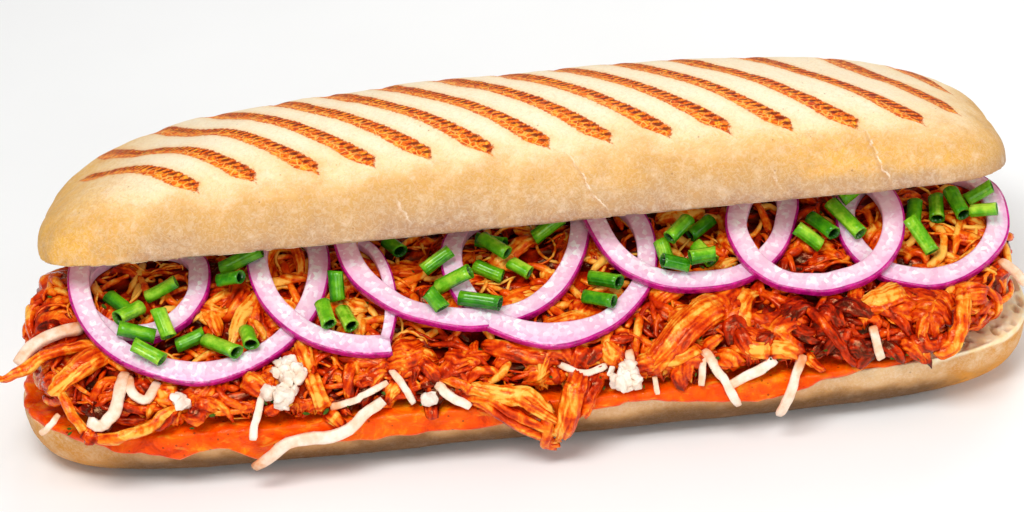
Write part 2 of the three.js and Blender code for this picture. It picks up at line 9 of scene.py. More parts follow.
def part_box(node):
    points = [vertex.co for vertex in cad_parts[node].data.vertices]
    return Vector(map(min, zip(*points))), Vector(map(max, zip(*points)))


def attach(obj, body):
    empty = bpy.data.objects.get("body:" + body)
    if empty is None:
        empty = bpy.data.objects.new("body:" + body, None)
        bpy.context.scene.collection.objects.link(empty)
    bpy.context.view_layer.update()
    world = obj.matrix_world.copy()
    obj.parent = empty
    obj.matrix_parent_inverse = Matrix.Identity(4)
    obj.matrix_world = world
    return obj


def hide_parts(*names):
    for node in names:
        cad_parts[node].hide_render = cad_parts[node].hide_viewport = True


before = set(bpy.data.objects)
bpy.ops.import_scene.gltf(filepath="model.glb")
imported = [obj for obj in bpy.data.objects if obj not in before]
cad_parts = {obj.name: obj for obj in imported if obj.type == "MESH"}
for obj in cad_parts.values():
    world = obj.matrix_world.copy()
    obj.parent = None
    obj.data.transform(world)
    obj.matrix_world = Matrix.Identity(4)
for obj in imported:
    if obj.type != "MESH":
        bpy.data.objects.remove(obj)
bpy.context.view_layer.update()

# ---- sizes

LOWER = dict(
    half_length=131, half_depth=36.6, height=18.1, end_power=6.3, side_power=3.2,
    shoulder=4.5, roundness=2, taper=0.7, crown_drop=0, crown_power=2, flat=0.94, lip=0.6,
)
UPPER = dict(
    half_length=126, half_depth=37.5, height=29, end_power=16, side_power=3.4,
    shoulder=2.2, roundness=2.7, taper=2, crown_drop=0.33, crown_power=2.3, flat=1, lip=0.4,
)
RIM = LOWER["height"] * LOWER["flat"]
TILT = math.radians(13.5)
UPPER_FRONT = (3, -15.8, 56.8)
HEAP = dict(half_length=126.5, half_depth=34.6, taper=1, foot=21.65, side=14, lump=1.2, phase=3)
HEAP_PROFILE = [(-35, 23), (-31, 27.5), (-15, 36), (-2, 41.8), (8, 42.5), (20, 39), (35, 35.2)]
# From the front wall of the lower bread over its sauced rim to the foot of the heap.
RIM_PROFILE = [(-37.3, 6), (-38.9, 10), (-39.2, 14), (-38.2, 17.6), (-36.3, 20), (-35, 23)]
# Shares of the heap's half depth and of its rise, from the foot to the crown line.
HEAP_LOOPS = [
    (0.97, 0), (1, 0.3), (0.985, 0.7), (0.93, 0.95), (0.8, 1), (0.58, 1), (0.34, 1), (0.1, 1), (0, 1),
]
RING_WIDTH, RING_THICKNESS, RING_EDGE = 5.4, 2.3, 0.32
# The cheese under the chicken fills this much of the gape.
BED_DEPTH, BED_TOP = 32.6, 21.9
# x, distance up the heap, radius, width and arc of each onion slice.
RINGS = {
    "a": (-97, 38, 18.2, RING_WIDTH, None), "b": (-81.5, 39.5, 33.5, RING_WIDTH, None),
    "c": (-37.5, 40, 31.5, RING_WIDTH, (150, 278)), "d": (-67, 24, 36, 3, (-20, 36)),
    "e": (-13, 45, 33.3, RING_WIDTH, None), "f": (8.5, 33.7, 27.8, RING_WIDTH, (138, 400)),
    "g": (46, 45.4, 28.2, RING_WIDTH, None), "h": (104.6, 35.5, 22.2, RING_WIDTH, None),
    "i": (77, 34.8, 22.6, RING_WIDTH, None),
}
# Points on the outline and on the side of a bread before they are spaced out.
FINE_OUTLINE, FINE_SIDE = 2881, 4000
CHIVE_NODES = [f"chive_{i:02d}" for i in range(1, 43)]
CHIVE_RADIUS, CHIVE_BORE = 1.95, 1.36

SHIFT = np.array(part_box("bread_lower")[0]) * 1000 + np.array([LOWER["half_length"], LOWER["half_depth"], 0])

# ---- numbers and noise

HASH = (374761393, 668265263, 1440662683, 974634777)
HASH_MIX = 1274126177
LOW_32, LOW_16 = 0xFFFFFFFF, 0xFFFF
# Height, turns along x and y, and phase of the low waves that the CAD solids have too.
WAVES = [(0.4, 0.13, 0.21, 0), (0.35, 0.29, -0.17, 2.1), (0.25, 0.47, 0.41, 4.4)]


def signed_power(value, power):
    return np.sign(value) * np.abs(value) ** power


def smoothstep(value, low, high):
    t = np.clip((value - low) / (high - low), 0, 1)
    return t * t * (3 - 2 * t)


def unit(vectors):
    return vectors / np.maximum(np.linalg.norm(vectors, axis=-1, keepdims=True), 1e-9)


def lattice(cell, seed):
    """A random value between -1 and 1 for each cell."""
    n = (cell[..., 0] * HASH[0] + cell[..., 1] * HASH[1] + cell[..., 2] * HASH[2] + seed * HASH[3]) & LOW_32
    n = ((n ^ (n >> 13)) * HASH_MIX) & LOW_32
    return ((n ^ (n >> 16)) & LOW_16) / (LOW_16 / 2) - 1


def noise(points, size, seed=0):
    """Smooth noise between -1 and 1 with features of that size, in millimetres."""
    q = np.asarray(points, float) / size
    cell = np.floor(q).astype(np.int64)
    f = q - cell
    f = f * f * (3 - 2 * f)
    total = 0
    for corner in np.ndindex(2, 2, 2):
        weight = 1
        for k in range(3):
            weight = weight * (f[..., k] if corner[k] else 1 - f[..., k])
        total = total + weight * lattice(cell + np.array(corner), seed)
    return total


def noise_vectors(points, size, seed):
    return np.stack([noise(points, size, seed + k) for k in range(3)], -1)


def swelling(points, seed, *octaves):
    """Noise summed over octaves, each a height and a size."""
    return sum(high * noise(points, size, seed + k) for k, (high, size) in enumerate(octaves))


def bell(value, width):
    return np.exp(-((value / width) ** 2))


def catmull_rom(points, steps=40):
    """A centripetal curve through the points."""
    p = [np.array(q, float) for q in points]
    p = [2 * p[0] - p[1]] + p + [2 * p[-1] - p[-2]]
    t = np.linspace(0, 1, steps, endpoint=False)[:, None]
    out = []
    for a, b, c, d in zip(p, p[1:], p[2:], p[3:]):
        d0, d1, d2 = (np.linalg.norm(v) ** 0.5 for v in (b - a, c - b, d - c))
        t1 = ((b - a) / d0 - (c - a) / (d0 + d1) + (c - b) / d1) * d1
        t2 = ((c - b) / d1 - (d - b) / (d1 + d2) + (d - c) / d2) * d1
        out.append(b + t1 * t + (3 * (c - b) - 2 * t1 - t2) * t**2 + (2 * (b - c) + t1 + t2) * t**3)
    return np.concatenate(out + [p[-2][None]])


def distances(points):
    """How far along the path each of its points lies."""
    return np.concatenate([[0], np.cumsum(np.linalg.norm(np.diff(points, axis=0), axis=1))])


def resample(points, count):
    """The same path with that many points, evenly spaced."""
    length = distances(points)
    at = np.linspace(0, length[-1], count)
    return np.stack([np.interp(at, length, column) for column in points.T], -1)


# ---- the profile that the filling follows

rim_curve = catmull_rom(RIM_PROFILE)
heap_curve = catmull_rom(HEAP_PROFILE, 200)
PROFILE = np.concatenate([rim_curve[:-1], heap_curve])
PROFILE_AT = distances(PROFILE)
PROFILE_AT -= PROFILE_AT[len(rim_curve) - 1]
PROFILE_TANGENT = unit(np.gradient(PROFILE, axis=0))


def on_profile(x, up, lift=0):
    """Points and normals at x, a distance up the heap from its foot, and a lift over it."""
    x, up, lift = np.broadcast_arrays(*(np.asarray(v, float) for v in (x, up, lift)))
    y, z, ty, tz = (
        np.interp(up, PROFILE_AT, column)
        for column in (*PROFILE.T, *PROFILE_TANGENT.T)
    )
    past = up - np.clip(up, PROFILE_AT[0], PROFILE_AT[-1])
    points = np.stack([x, y + ty * past - tz * lift, z + tz * past + ty * lift], -1)
    return points, np.stack([np.zeros_like(x), -tz, ty], -1)


def to_profile(points):
    """x, distance up and lift of points near the heap."""
    near = np.linalg.norm(points[:, None, 1:] - PROFILE[None], axis=2).argmin(1)
    away = points[:, 1:] - PROFILE[near]
    tangent = PROFILE_TANGENT[near]
    lift = away[:, 1] * tangent[:, 0] - away[:, 0] * tangent[:, 1]
    return np.stack([points[:, 0], PROFILE_AT[near] + (away * tangent).sum(1), lift], -1)


# ---- pieces


def add_piece(name, points, faces, material, slot, nodes=(), smooth=True, **attributes):
    """A piece at its place in the frame, with the attributes' values at its points."""
    mesh = bpy.data.meshes.new(name)
    mesh.from_pydata(((np.asarray(points) + SHIFT) / 1000).tolist(), [], faces)
    for key, values in attributes.items():
        layer = mesh.attributes.new(key, "FLOAT", "POINT")
        layer.data.foreach_set("value", np.asarray(values, float).ravel())
    if smooth:
        mesh.shade_smooth()
    mesh.materials.append(material)
    piece = bpy.data.objects.new(name, mesh)
    bpy.context.collection.objects.link(piece)
    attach(piece, "root")
    if nodes:
        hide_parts(*nodes)
    return piece


def design_points(mesh):
    """The points of a mesh in the millimetres that the shapes are worked out in."""
    return np.array([v.co for v in mesh.vertices]) * 1000 - SHIFT


def cad_points(node):
    return design_points(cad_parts[node].data)


def grid_faces(rows, columns):
    """Quads between rows of points, each row closed on itself."""
    j, i = np.meshgrid(np.arange(rows - 1), np.arange(columns), indexing="ij")
    a = j * columns + i
    b = j * columns + (i + 1) % columns
    return np.stack([a, b, b + columns, a + columns], -1).reshape(-1, 4).tolist()


def closed_faces(rows, columns):
    """The same, with the last row joined to the first."""
    return (np.array(grid_faces(rows + 1, columns)) % (rows * columns)).tolist()


def joined(parts):
    """The points and faces of several parts as one."""
    faces, base = [], 0
    for points, part_faces in parts:
        faces += [[v + base for v in face] for face in part_faces]
        base += len(points)
    return np.concatenate([points for points, _ in parts]), faces


def weld(grid, more_faces=(), **values):
    """A mesh of rows of points. Points that fall together are merged, and faces that collapse dropped."""
    points = grid.reshape(-1, 3)
    _, first, inverse = np.unique(np.round(points, 3), axis=0, return_index=True, return_inverse=True)
    inverse = inverse.reshape(-1)
    faces = []
    for face in [*grid_faces(*grid.shape[:2]), *more_faces]:
        ring = [int(inverse[i]) for i in face]
        ring = [v for k, v in enumerate(ring) if v != ring[k - 1]]
        if len(ring) > 2:
            faces.append(ring)
    return points[first], faces, {key: np.ravel(value)[first] for key, value in values.items()}


def plan_loop(shape, count):
    """The bread's outline, with points in step with its length and its turning."""
    angle = np.linspace(0, 2 * np.pi, FINE_OUTLINE)
    dense = np.stack([
        shape["half_length"] * signed_power(np.cos(angle), 2 / shape["end_power"]),
        shape["half_depth"] * signed_power(np.sin(angle), 2 / shape["side_power"]),
    ], -1)
    step = np.diff(dense, axis=0)
    size = np.linalg.norm(step, axis=1)
    before = np.roll(step, 1, axis=0)
    cross = np.abs(before[:, 0] * step[:, 1] - before[:, 1] * step[:, 0])
    turn = np.arcsin(np.clip(cross / (size * np.roll(size, 1) + 1e-9), 0, 1))
    weight = np.concatenate([[0], np.cumsum(size / size.sum() + 0.5 * turn / (2 * np.pi))])
    at = np.arange(count) / count * weight[-1]
    return np.stack([np.interp(at, weight, column) for column in dense.T], -1)


def narrowed(shape, plan, spread):
    """x and y of the outline, drawn in to that share of its distance from the crown line."""
    crown = plan[:, 0] * (shape["half_length"] - shape["taper"] * shape["half_depth"]) / shape["half_length"]
    return crown + (plan[:, 0] - crown) * spread, plan[:, 1] * spread


def bread_grid(bread, around, side_rows, cut_rows, crowd=1.0):
    """Rows of points from the middle of the cut face, round its edge, to the crown line, and their
    share of the height. A crowd over 1 brings the rows closer together near the edge."""
    half_depth, height = bread["half_depth"], bread["height"]
    dense = np.linspace(0, 1, FINE_SIDE)
    high = (1 - dense ** bread["shoulder"]) ** (1 / bread["roundness"])
    outline = np.stack([dense * half_depth, high * height], -1)[::-1]
    outline = resample(outline, 8 * side_rows)
    picks = np.linspace(0, 1, side_rows) ** crowd * (len(outline) - 1)
    outline = outline[np.round(picks).astype(int)]
    inner = 1 - bread["lip"] / half_depth
    cut_spread = inner * (1 - np.linspace(1, 0, cut_rows) ** (1.2 * crowd))
    spread = np.concatenate([cut_spread, outline[:, 0] / half_depth])
    share = np.concatenate([np.zeros(cut_rows), np.minimum(outline[:, 1] / height, bread["flat"])])
    share[cut_rows] = 0.5 * min(bread["lip"] / height, share[cut_rows + 1])
    x, y = narrowed(bread, plan_loop(bread, around), spread[:, None])
    drop = 1 - bread["crown_drop"] * np.abs(x / bread["half_length"]) ** bread["crown_power"]
    grid = np.stack([x, y, height * drop * share[:, None]], -1)
    return grid, np.broadcast_to(share[:, None], grid.shape[:2])


def grid_normals(grid):
    """Outward normals of rows that run from the cut face to the crown."""
    along = np.roll(grid, -1, axis=1) - np.roll(grid, 1, axis=1)
    normals = unit(np.cross(along, np.gradient(grid, axis=0)))
    normals[0] = (0, 0, -1)
    normals[-1] = (0, 0, 1)
    return normals


def turned_up(points, height):
    """A bread turned over so that its cut face is up, at that height."""
    return points * np.array([1, -1, -1]) + np.array([0, 0, height])


def upper_placed(points):
    """The upper bread tilted and set on the filling."""
    x, y, z = UPPER_FRONT
    c, s = math.cos(-TILT), math.sin(-TILT)
    turned = np.stack([
        points[..., 0], c * points[..., 1] - s * points[..., 2], s * points[..., 1] + c * points[..., 2]
    ], -1)
    depth = UPPER["half_depth"]
    return turned + np.array([x, y + depth * math.cos(TILT), z - depth * math.sin(TILT)])


def tubes(paths, normals, radii, tint, flatness, sides, square=1.0):
    """Tubes along paths. Shapes: paths and normals (n, steps, 3), radii (n, steps), and tint (n,) or
    (n, steps). A square under 1 gives them corners."""
    count, steps = paths.shape[:2]
    tangent = unit(np.gradient(paths, axis=1))
    across = unit(np.cross(tangent, normals))
    upward = np.cross(across, tangent)
    angle = (np.arange(sides) + 0.5) / sides * 2 * np.pi
    wide = radii[:, :, None, None]
    rings = (
        paths[:, :, None]
        + across[:, :, None] * signed_power(np.cos(angle), square)[:, None] * wide
        + upward[:, :, None] * signed_power(np.sin(angle), square)[:, None] * wide * flatness
    )
    # high, 1 on top of each tube and -1 beneath, is what the chicken material paints lighter on top and
    # darker beneath: painted light and shade
    high = np.broadcast_to(np.sin(angle), (count, steps, sides)).ravel()
    tint = np.broadcast_to(np.reshape(tint, (count, -1, 1)), (count, steps, sides)).ravel()
    j, k = np.meshgrid(np.arange(steps - 1), np.arange(sides), indexing="ij")
    a, b = (j * sides + k).ravel(), (j * sides + (k + 1) % sides).ravel()
    quads = np.stack([b, a, a + sides, b + sides], -1)
    first = np.arange(count)[:, None, None] * steps * sides
    faces = (quads[None] + first).reshape(-1, 4).tolist()
    cap = np.arange(sides)
    for base in first.ravel():
        faces.append((base + cap).tolist())
        faces.append((base + (steps - 1) * sides + cap[::-1]).tolist())
    return rings.reshape(-1, 3), faces, high, tint


# ---- materials


def rgb(red, green, blue):
    """A colour as it looks on a screen, from 0 to 255, as the shader's linear values."""
    out = []
    for value in (red, green, blue):
        c = value / 255
        out.append(c / 12.92 if c <= 0.04045 else ((c + 0.055) / 1.055) ** 2.4)
    return (*out, 1)


class Shader:
    """A material in the making. Each method adds a node and returns its output."""

    def __init__(self, name, **settings):
        self.material = bpy.data.materials.new(name)
        self.material.use_nodes = True
        self.tree = self.material.node_tree
        self.surface = self.tree.nodes["Principled BSDF"]
        self.set(**settings)
        self.place = self.add("ShaderNodeTexCoord").outputs["Object"]

    def set(self, **settings):
        for key, value in settings.items():
            self.plug(self.surface.inputs[key.replace("_", " ")], value)

    def plug(self, socket, value):
        if isinstance(value, bpy.types.NodeSocket):
            self.tree.links.new(value, socket)
        else:
            socket.default_value = value

    def add(self, kind, inputs=(), **settings):
        node = self.tree.nodes.new(kind)
        for key, value in settings.items():
            setattr(node, key, value)
        for key, value in dict(inputs).items():
            self.plug(node.inputs[key], value)
        return node

    def attribute(self, name):
        return self.add("ShaderNodeAttribute", attribute_name=name).outputs["Fac"]

    def stretched(self, x, y, z):
        mapping = self.add("ShaderNodeMapping", {"Vector": self.place, "Scale": (x, y, z)})
        return mapping.outputs["Vector"]

    def noise(self, size, detail=3.0, rough=0.5, distortion=0.0, vector=None):
        inputs = {
            "Vector": vector or self.place, "Scale": 1000 / size, "Detail": detail,
            "Roughness": rough, "Distortion": distortion,
        }
        return self.add("ShaderNodeTexNoise", inputs).outputs["Fac"]

    def cells(self, size, feature="F1", vector=None, output="Distance"):
        inputs = {"Vector": vector or self.place, "Scale": 1000 / size}
        return self.add("ShaderNodeTexVoronoi", inputs, feature=feature).outputs[output]

    def math(self, operation, a, b=0.0):
        return self.add("ShaderNodeMath", {0: a, 1: b}, operation=operation).outputs[0]

    def plus(self, a, b):
        return self.math("ADD", a, b)

    def times(self, a, b):
        return self.math("MULTIPLY", a, b)

    def remap(self, value, low, high, out_low=0.0, out_high=1.0):
        inputs = {"Value": value, "From Min": low, "From Max": high, "To Min": out_low, "To Max": out_high}
        return self.add("ShaderNodeMapRange", inputs, interpolation_type="SMOOTHSTEP").outputs["Result"]

    def grain(self, amount, size, *look):
        """Noise between minus and plus the amount."""
        return self.remap(self.noise(size, *look), 0.3, 0.7, -amount, amount)

    def from_middle(self, value):
        return self.math("ABSOLUTE", self.math("SUBTRACT", value, 0.5))

    def ramp(self, value, *stops):
        """A colour ramp. Each stop is a position and the three parts of its colour."""
        node = self.add("ShaderNodeValToRGB", {"Fac": value})
        elements = node.color_ramp.elements
        while len(elements) < len(stops):
            elements.new(0.5)
        for element, (at, *colour) in zip(elements, stops):
            element.position = at
            element.color = rgb(*colour)
        return node.outputs["Color"]

    def mix(self, share, a, b, blend="MIX"):
        node = self.add("ShaderNodeMix", data_type="RGBA", blend_type=blend)
        self.plug(node.inputs["Factor"], share)
        self.plug(node.inputs["A"], a)
        self.plug(node.inputs["B"], b)
        return node.outputs["Result"]

    def bump(self, height, distance, strength=1.0, normal=None):
        inputs = {"Height": height, "Distance": distance / 1000, "Strength": strength}
        if normal:
            inputs["Normal"] = normal
        return self.add("ShaderNodeBump", inputs).outputs["Normal"]


def bread_material(name, side_stops, gold_colour, grilled):
    """Baked crust with flour grain and golden patches, and crumb on the cut face."""
    s = Shader(
        name, Roughness=0.6, Specular_IOR_Level=0.15,
        Subsurface_Weight=0.1, Subsurface_Scale=0.003, Subsurface_Radius=(1.0, 0.6, 0.3),
    )
    high, gold = s.attribute("high"), s.attribute("gold")
    base = s.ramp(s.plus(high, s.grain(0.08, 14, 4, 0.6)), *side_stops)
    base = s.mix(s.times(gold, s.remap(s.noise(7, 5, 0.66), 0.3, 0.6, 0.25, 1.0)), base, gold_colour)
    # folds, flour and lines fade out on the foot of the lower bread, which is painted dark as painted shade
    floury = 1.0 if grilled else s.remap(high, 0.2, 0.38, 1.0, 0.2)
    folds = s.remap(s.from_middle(s.noise(3.2, 5, 0.62, 1.4)), 0.0, 0.05, 0.45, 0.0)
    folds = s.times(folds, s.remap(gold, 0.0, 0.5, 0.35, 1.0))
    base = s.mix(s.times(folds, floury), base, rgb(222, 158, 84))
    flour = s.remap(s.noise(4.0, 5, 0.7), 0.48, 0.72, 0.0, 0.26)
    base = s.mix(s.times(flour, floury), base, rgb(250, 232, 206))
    lines = s.remap(s.from_middle(s.noise(1.5, 3, 0.55, 0.9)), 0.0, 0.07, 1.0, 0.0)
    base = s.mix(s.times(lines, s.times(floury, 0.15)), base, rgb(255, 246, 230))
    base = s.mix(s.remap(s.noise(0.9, 3, 0.6), 0.3, 0.5, 0.2, 0.0), base, rgb(226, 186, 132), "MULTIPLY")
    base = s.mix(s.remap(s.cells(4.6), 0.03, 0.075, 0.55, 0.0), base, rgb(150, 98, 58))
    rough = s.bump(lines, 0.22, 0.35, s.bump(s.noise(2.4, 5, 0.66), 0.5, 0.5))
    if grilled:
        base, rough = add_grill_marks(s, add_creases(s, base), rough)
    crumb = s.ramp(s.noise(3, 4, 0.6), (0.35, 252, 224, 170), (0.65, 255, 240, 208))
    # the holes are painted a darker brown the deeper they are: painted shade in the holes
    crumb = s.mix(s.attribute("pore"), crumb, rgb(178, 112, 50))
    s.set(Base_Color=s.mix(s.attribute("cut"), base, crumb), Normal=rough)
    return s.material


def add_creases(s, base):
    """Pale broken lines, with a painted shadow a little darker beside them."""
    fold, folded = s.attribute("fold"), s.attribute("folded")
    wavy = s.math("ABSOLUTE", s.plus(fold, s.grain(0.5, 1.8, 3, 0.6)))
    broken = s.remap(s.noise(2.5, 2), 0.35, 0.6, 0.1, 0.6)
    base = s.mix(s.times(s.remap(wavy, 0.05, 0.5, broken, 0.0), folded), base, rgb(255, 242, 222))
    # the darker band beside each crease is painted shadow
    side = s.times(s.remap(fold, -1.3, -0.3, 0.0, 0.4), s.remap(fold, -0.1, 0.1, 1.0, 0.0))
    return s.mix(s.times(side, folded), base, rgb(196, 140, 84))


def add_grill_marks(s, base, normal):
    """Orange bars with a net of pale streaks, and dark dots along the upper edge."""
    line, char = s.attribute("line"), s.attribute("char")
    off = s.times(s.math("SUBTRACT", line, s.math("ROUND", line)), s.attribute("pitch"))
    wide = s.times(s.remap(char, 0.0, 0.8), s.attribute("wide"))
    inside = s.math("SUBTRACT", s.plus(wide, s.grain(0.22, 0.8, 3, 0.6)), s.math("ABSOLUTE", off))
    mark = s.times(s.remap(inside, -0.18, 0.3), s.remap(char, 0.0, 0.12))
    orange = s.ramp(
        s.noise(1.5, 4, 0.65, 0.8),
        (0.3, 142, 34, 0), (0.4, 206, 70, 0), (0.52, 242, 110, 4), (0.64, 255, 168, 38),
    )
    net = s.cells(1.55, "DISTANCE_TO_EDGE", s.stretched(0.75, 1.0, 1.0))
    streaks = s.times(s.remap(net, 0.02, 0.1, 1.0, 0.0), s.remap(off, 1.2, -0.8, 0.2, 0.85))
    orange = s.mix(streaks, orange, rgb(250, 190, 92))
    beat = s.math("SINE", s.times(s.attribute("along"), 2 * math.pi / 1.9))
    beat = s.plus(beat, s.grain(0.8, 1.4, 2))
    dots = s.times(s.remap(off, -0.3, 0.7), s.remap(beat, -0.3, 0.5))
    orange = s.mix(s.times(dots, 0.85), orange, rgb(96, 16, 2))
    orange = s.mix(s.times(s.remap(inside, 0.75, 0.0), 0.55), orange, rgb(190, 78, 10))
    glow = s.times(s.remap(inside, -2.0, 0.0, 0.0, 0.35), s.remap(char, 0.0, 0.6))
    base = s.mix(glow, base, rgb(246, 206, 140), "MULTIPLY")
    s.set(Roughness=s.remap(mark, 0.0, 1.0, 0.6, 0.5))
    return s.mix(mark, base, orange), s.bump(s.times(net, mark), 0.6, 0.6, normal)


def sauce_material():
    s = Shader(
        "sauce", Roughness=0.3, Coat_Weight=0.06, Coat_Roughness=0.05,
        Specular_IOR_Level=0.3, Specular_Tint=(1, 0.62, 0.25, 1),
        Subsurface_Weight=0.15, Subsurface_Scale=0.003, Subsurface_Radius=(1.0, 0.25, 0.08),
    )
    base = s.ramp(
        s.noise(8, 5, 0.66, 0.9),
        (0.3, 200, 40, 0), (0.43, 242, 70, 0), (0.56, 255, 94, 2), (0.7, 255, 146, 14),
    )
    # painted highlights: pale yellow streaks over the sauce
    painted_glints = s.remap(s.noise(2.2, 3, 0.6, 0.4, s.stretched(0.35, 1, 1)), 0.56, 0.7, 0.0, 0.5)
    base = s.mix(painted_glints, base, rgb(255, 178, 50))
    base = s.mix(s.remap(s.cells(3.2), 0.06, 0.13, 0.7, 0.0), base, rgb(120, 30, 8))
    s.set(Base_Color=base, Normal=s.bump(s.noise(3.4, 4, 0.6, 0.6), 1.1, 0.7))
    return s.material


def chicken_material():
    """Pulled meat: tint runs from pale gold to deep red sauce and carries painted shade too; high is 1 on top
    of a fibre, which is painted lighter while grooves and undersides are painted darker: painted light and
    shade.
    """
    s = Shader(
        "chicken", Specular_IOR_Level=0.5, Specular_Tint=(1, 0.58, 0.28, 1),
        Subsurface_Weight=0.12, Subsurface_Scale=0.002, Subsurface_Radius=(1.0, 0.35, 0.12),
    )
    stain_and_shade = s.plus(s.attribute("tint"), s.grain(0.24, 5, 4, 0.6, 0.8))
    # fibre tops painted lighter, grooves and undersides darker: painted light and shade
    grain_and_fibre_shade = s.plus(s.grain(0.07, 1.5, 2, 0.5), s.remap(s.attribute("high"), -0.5, 1.0, 0.2, -0.13))
    value = s.plus(stain_and_shade, grain_and_fibre_shade)
    colour = s.ramp(
        value, (0.0, 254, 186, 78), (0.14, 246, 138, 28), (0.32, 234, 88, 6), (0.5, 206, 48, 2),
        (0.68, 162, 26, 1), (0.84, 116, 14, 1), (1.0, 78, 7, 1),
    )
    s.set(Base_Color=colour, Roughness=s.remap(value, 0.1, 0.9, 0.22, 0.14))
    s.set(Normal=s.bump(s.noise(1.2, 3, 0.6), 0.4, 0.5))
    return s.material


def onion_material():
    """Pale flesh in wet cells, with the magenta skin on the outer wall."""
    s = Shader(
        "onion", Roughness=0.25, Coat_Weight=0.15, Coat_Roughness=0.1,
        Subsurface_Weight=0.35, Subsurface_Scale=0.003, Subsurface_Radius=(1.0, 0.5, 0.6),
    )
    across = s.attribute("across")
    cell = s.add("ShaderNodeSeparateColor", {"Color": s.cells(1.15, output="Color")}).outputs[0]
    flesh = s.ramp(
        cell, (0.0, 236, 190, 212), (0.45, 243, 210, 226), (0.8, 250, 230, 240), (1.0, 255, 252, 254),
    )
    flesh = s.mix(s.remap(s.noise(9, 3), 0.42, 0.7, 0, 0.45), flesh, rgb(238, 184, 208))
    flesh = s.mix(s.remap(across, 0.45, 0.92, 0, 0.5), flesh, rgb(226, 136, 196))
    flesh = s.mix(s.remap(across, 0.12, 0.0, 0, 0.5), flesh, rgb(232, 150, 190))
    skin = s.ramp(s.noise(1.6, 3, 0.7), (0.3, 134, 0, 92), (0.5, 186, 6, 126), (0.75, 216, 36, 152))
    s.set(Base_Color=s.mix(s.remap(across, 0.9, 0.97), flesh, skin))
    s.set(Normal=s.bump(s.cells(1.15), 0.25, 0.4))
    return s.material


def chive_material():
    s = Shader(
        "chive", Roughness=0.22, Specular_IOR_Level=0.35,
        Subsurface_Weight=0.1, Subsurface_Scale=0.0015, Subsurface_Radius=(0.3, 1.0, 0.15),
    )
    # the palest stop is the painted highlight along the top of a piece, the darkest its painted shade beneath
    base = s.ramp(
        s.plus(s.attribute("tint"), s.grain(0.14, 2.2, 3, 0.6)),
        (0.0, 14, 76, 2), (0.35, 46, 130, 6), (0.7, 104, 178, 18), (1.0, 176, 218, 60),
    )
    # the inner wall is painted near black green: painted shade in the hollow
    s.set(Base_Color=s.mix(s.attribute("inside"), base, rgb(10, 48, 8)))
    s.set(Normal=s.bump(s.attribute("rib"), 0.15, 0.5))
    return s.material


def cheese_material():
    s = Shader(
        "cheese", Roughness=0.4, Specular_IOR_Level=0.3,
        Subsurface_Weight=0.15, Subsurface_Scale=0.001, Subsurface_Radius=(1.0, 0.85, 0.7),
    )
    base = s.ramp(
        s.plus(s.attribute("tint"), s.grain(0.12, 3, 4, 0.6)), (0.0, 252, 238, 222),
        (0.2, 244, 214, 188), (0.36, 238, 184, 142), (0.52, 226, 140, 78), (1.0, 150, 40, 6),
    )
    s.set(Base_Color=base, Normal=s.bump(s.noise(1.3, 4, 0.65), 0.3, 0.4))
    return s.material


def plain_material(name, roughness, size, detail, *stops):
    """A dull surface with a wash of two colours."""
    s = Shader(name, Roughness=roughness, Specular_IOR_Level=0.1)
    s.set(Base_Color=s.ramp(s.noise(size, detail), *stops))
    return s.material


# ---- breads

# Where each grill mark crosses the front of the crown. The marks run aslant over the bread.
MARK_AT = [-98, -83, -67, -53, -38.4, -23.4, -8.8, 6.6, 21.8, 36.8, 52.6, 68.4, 88, 112, 134]
MARK_PITCH, MARK_HALF_WIDTH = 15, 2.1
MARK_LEVEL, MARK_BEND = -18, 0.012
# The marks bend back from this far behind the level, over this distance.
MARK_BACK, MARK_BACK_BEND = 8, 22
# Creases in the front side: x, lean, and the heights between which they run.
CREASES = [(15, 0.68, 1, 18), (-33, 0.5, 3, 12), (89, 0.45, 1, 17), (61.5, 0.3, 2, 10)]
# Far from every crease.
NO_CREASE = 9.0
GROOVE_DEPTH, GROOVE_HALF_WIDTH, CREASE_DEPTH = 0.3, 1.6, 0.5
UPPER_PORE_DEPTH, LOWER_PORE_DEPTH = 1.3, 1.4
# Points around a bread, rows on its side and on its cut face, and how they crowd to the edge.
UPPER_ROWS = (760, 62, 20)
LOWER_ROWS = (760, 42, 26, 1.5)


def grill_marks(points, share):
    """At local points: the number of the nearest mark as a smooth value, the millimetres for each
    step of that value, the distance along the mark, and how charred the crust may be there."""
    down = MARK_LEVEL - points[..., 1]
    ahead = np.maximum(down, 0)
    behind = np.maximum(-down - MARK_BACK, 0)
    bent = np.minimum(behind, MARK_BACK_BEND)
    line_x = points[..., 0] - down - MARK_BEND * (ahead**2 + bent * (2 * behind - bent))
    slope = 1 + 2 * MARK_BEND * ahead
    before, beyond = np.minimum(line_x - MARK_AT[0], 0), np.maximum(line_x - MARK_AT[-1], 0)
    line = np.interp(line_x, MARK_AT, np.arange(len(MARK_AT)))
    line = line + before / MARK_PITCH + beyond / MARK_PITCH
    pitch = np.interp(line_x, MARK_AT, np.gradient(MARK_AT)) / np.sqrt(1 + slope**2)
    char = smoothstep(share + 0.015 * noise(points, 5, 4), 0.58, 0.77)
    last = len(MARK_AT) - 1
    char = char * smoothstep(line, -0.5, -0.3) * (1 - smoothstep(line, last + 0.3, last + 0.5))
    return dict(line=line, pitch=pitch, along=1.41 * down, char=char)


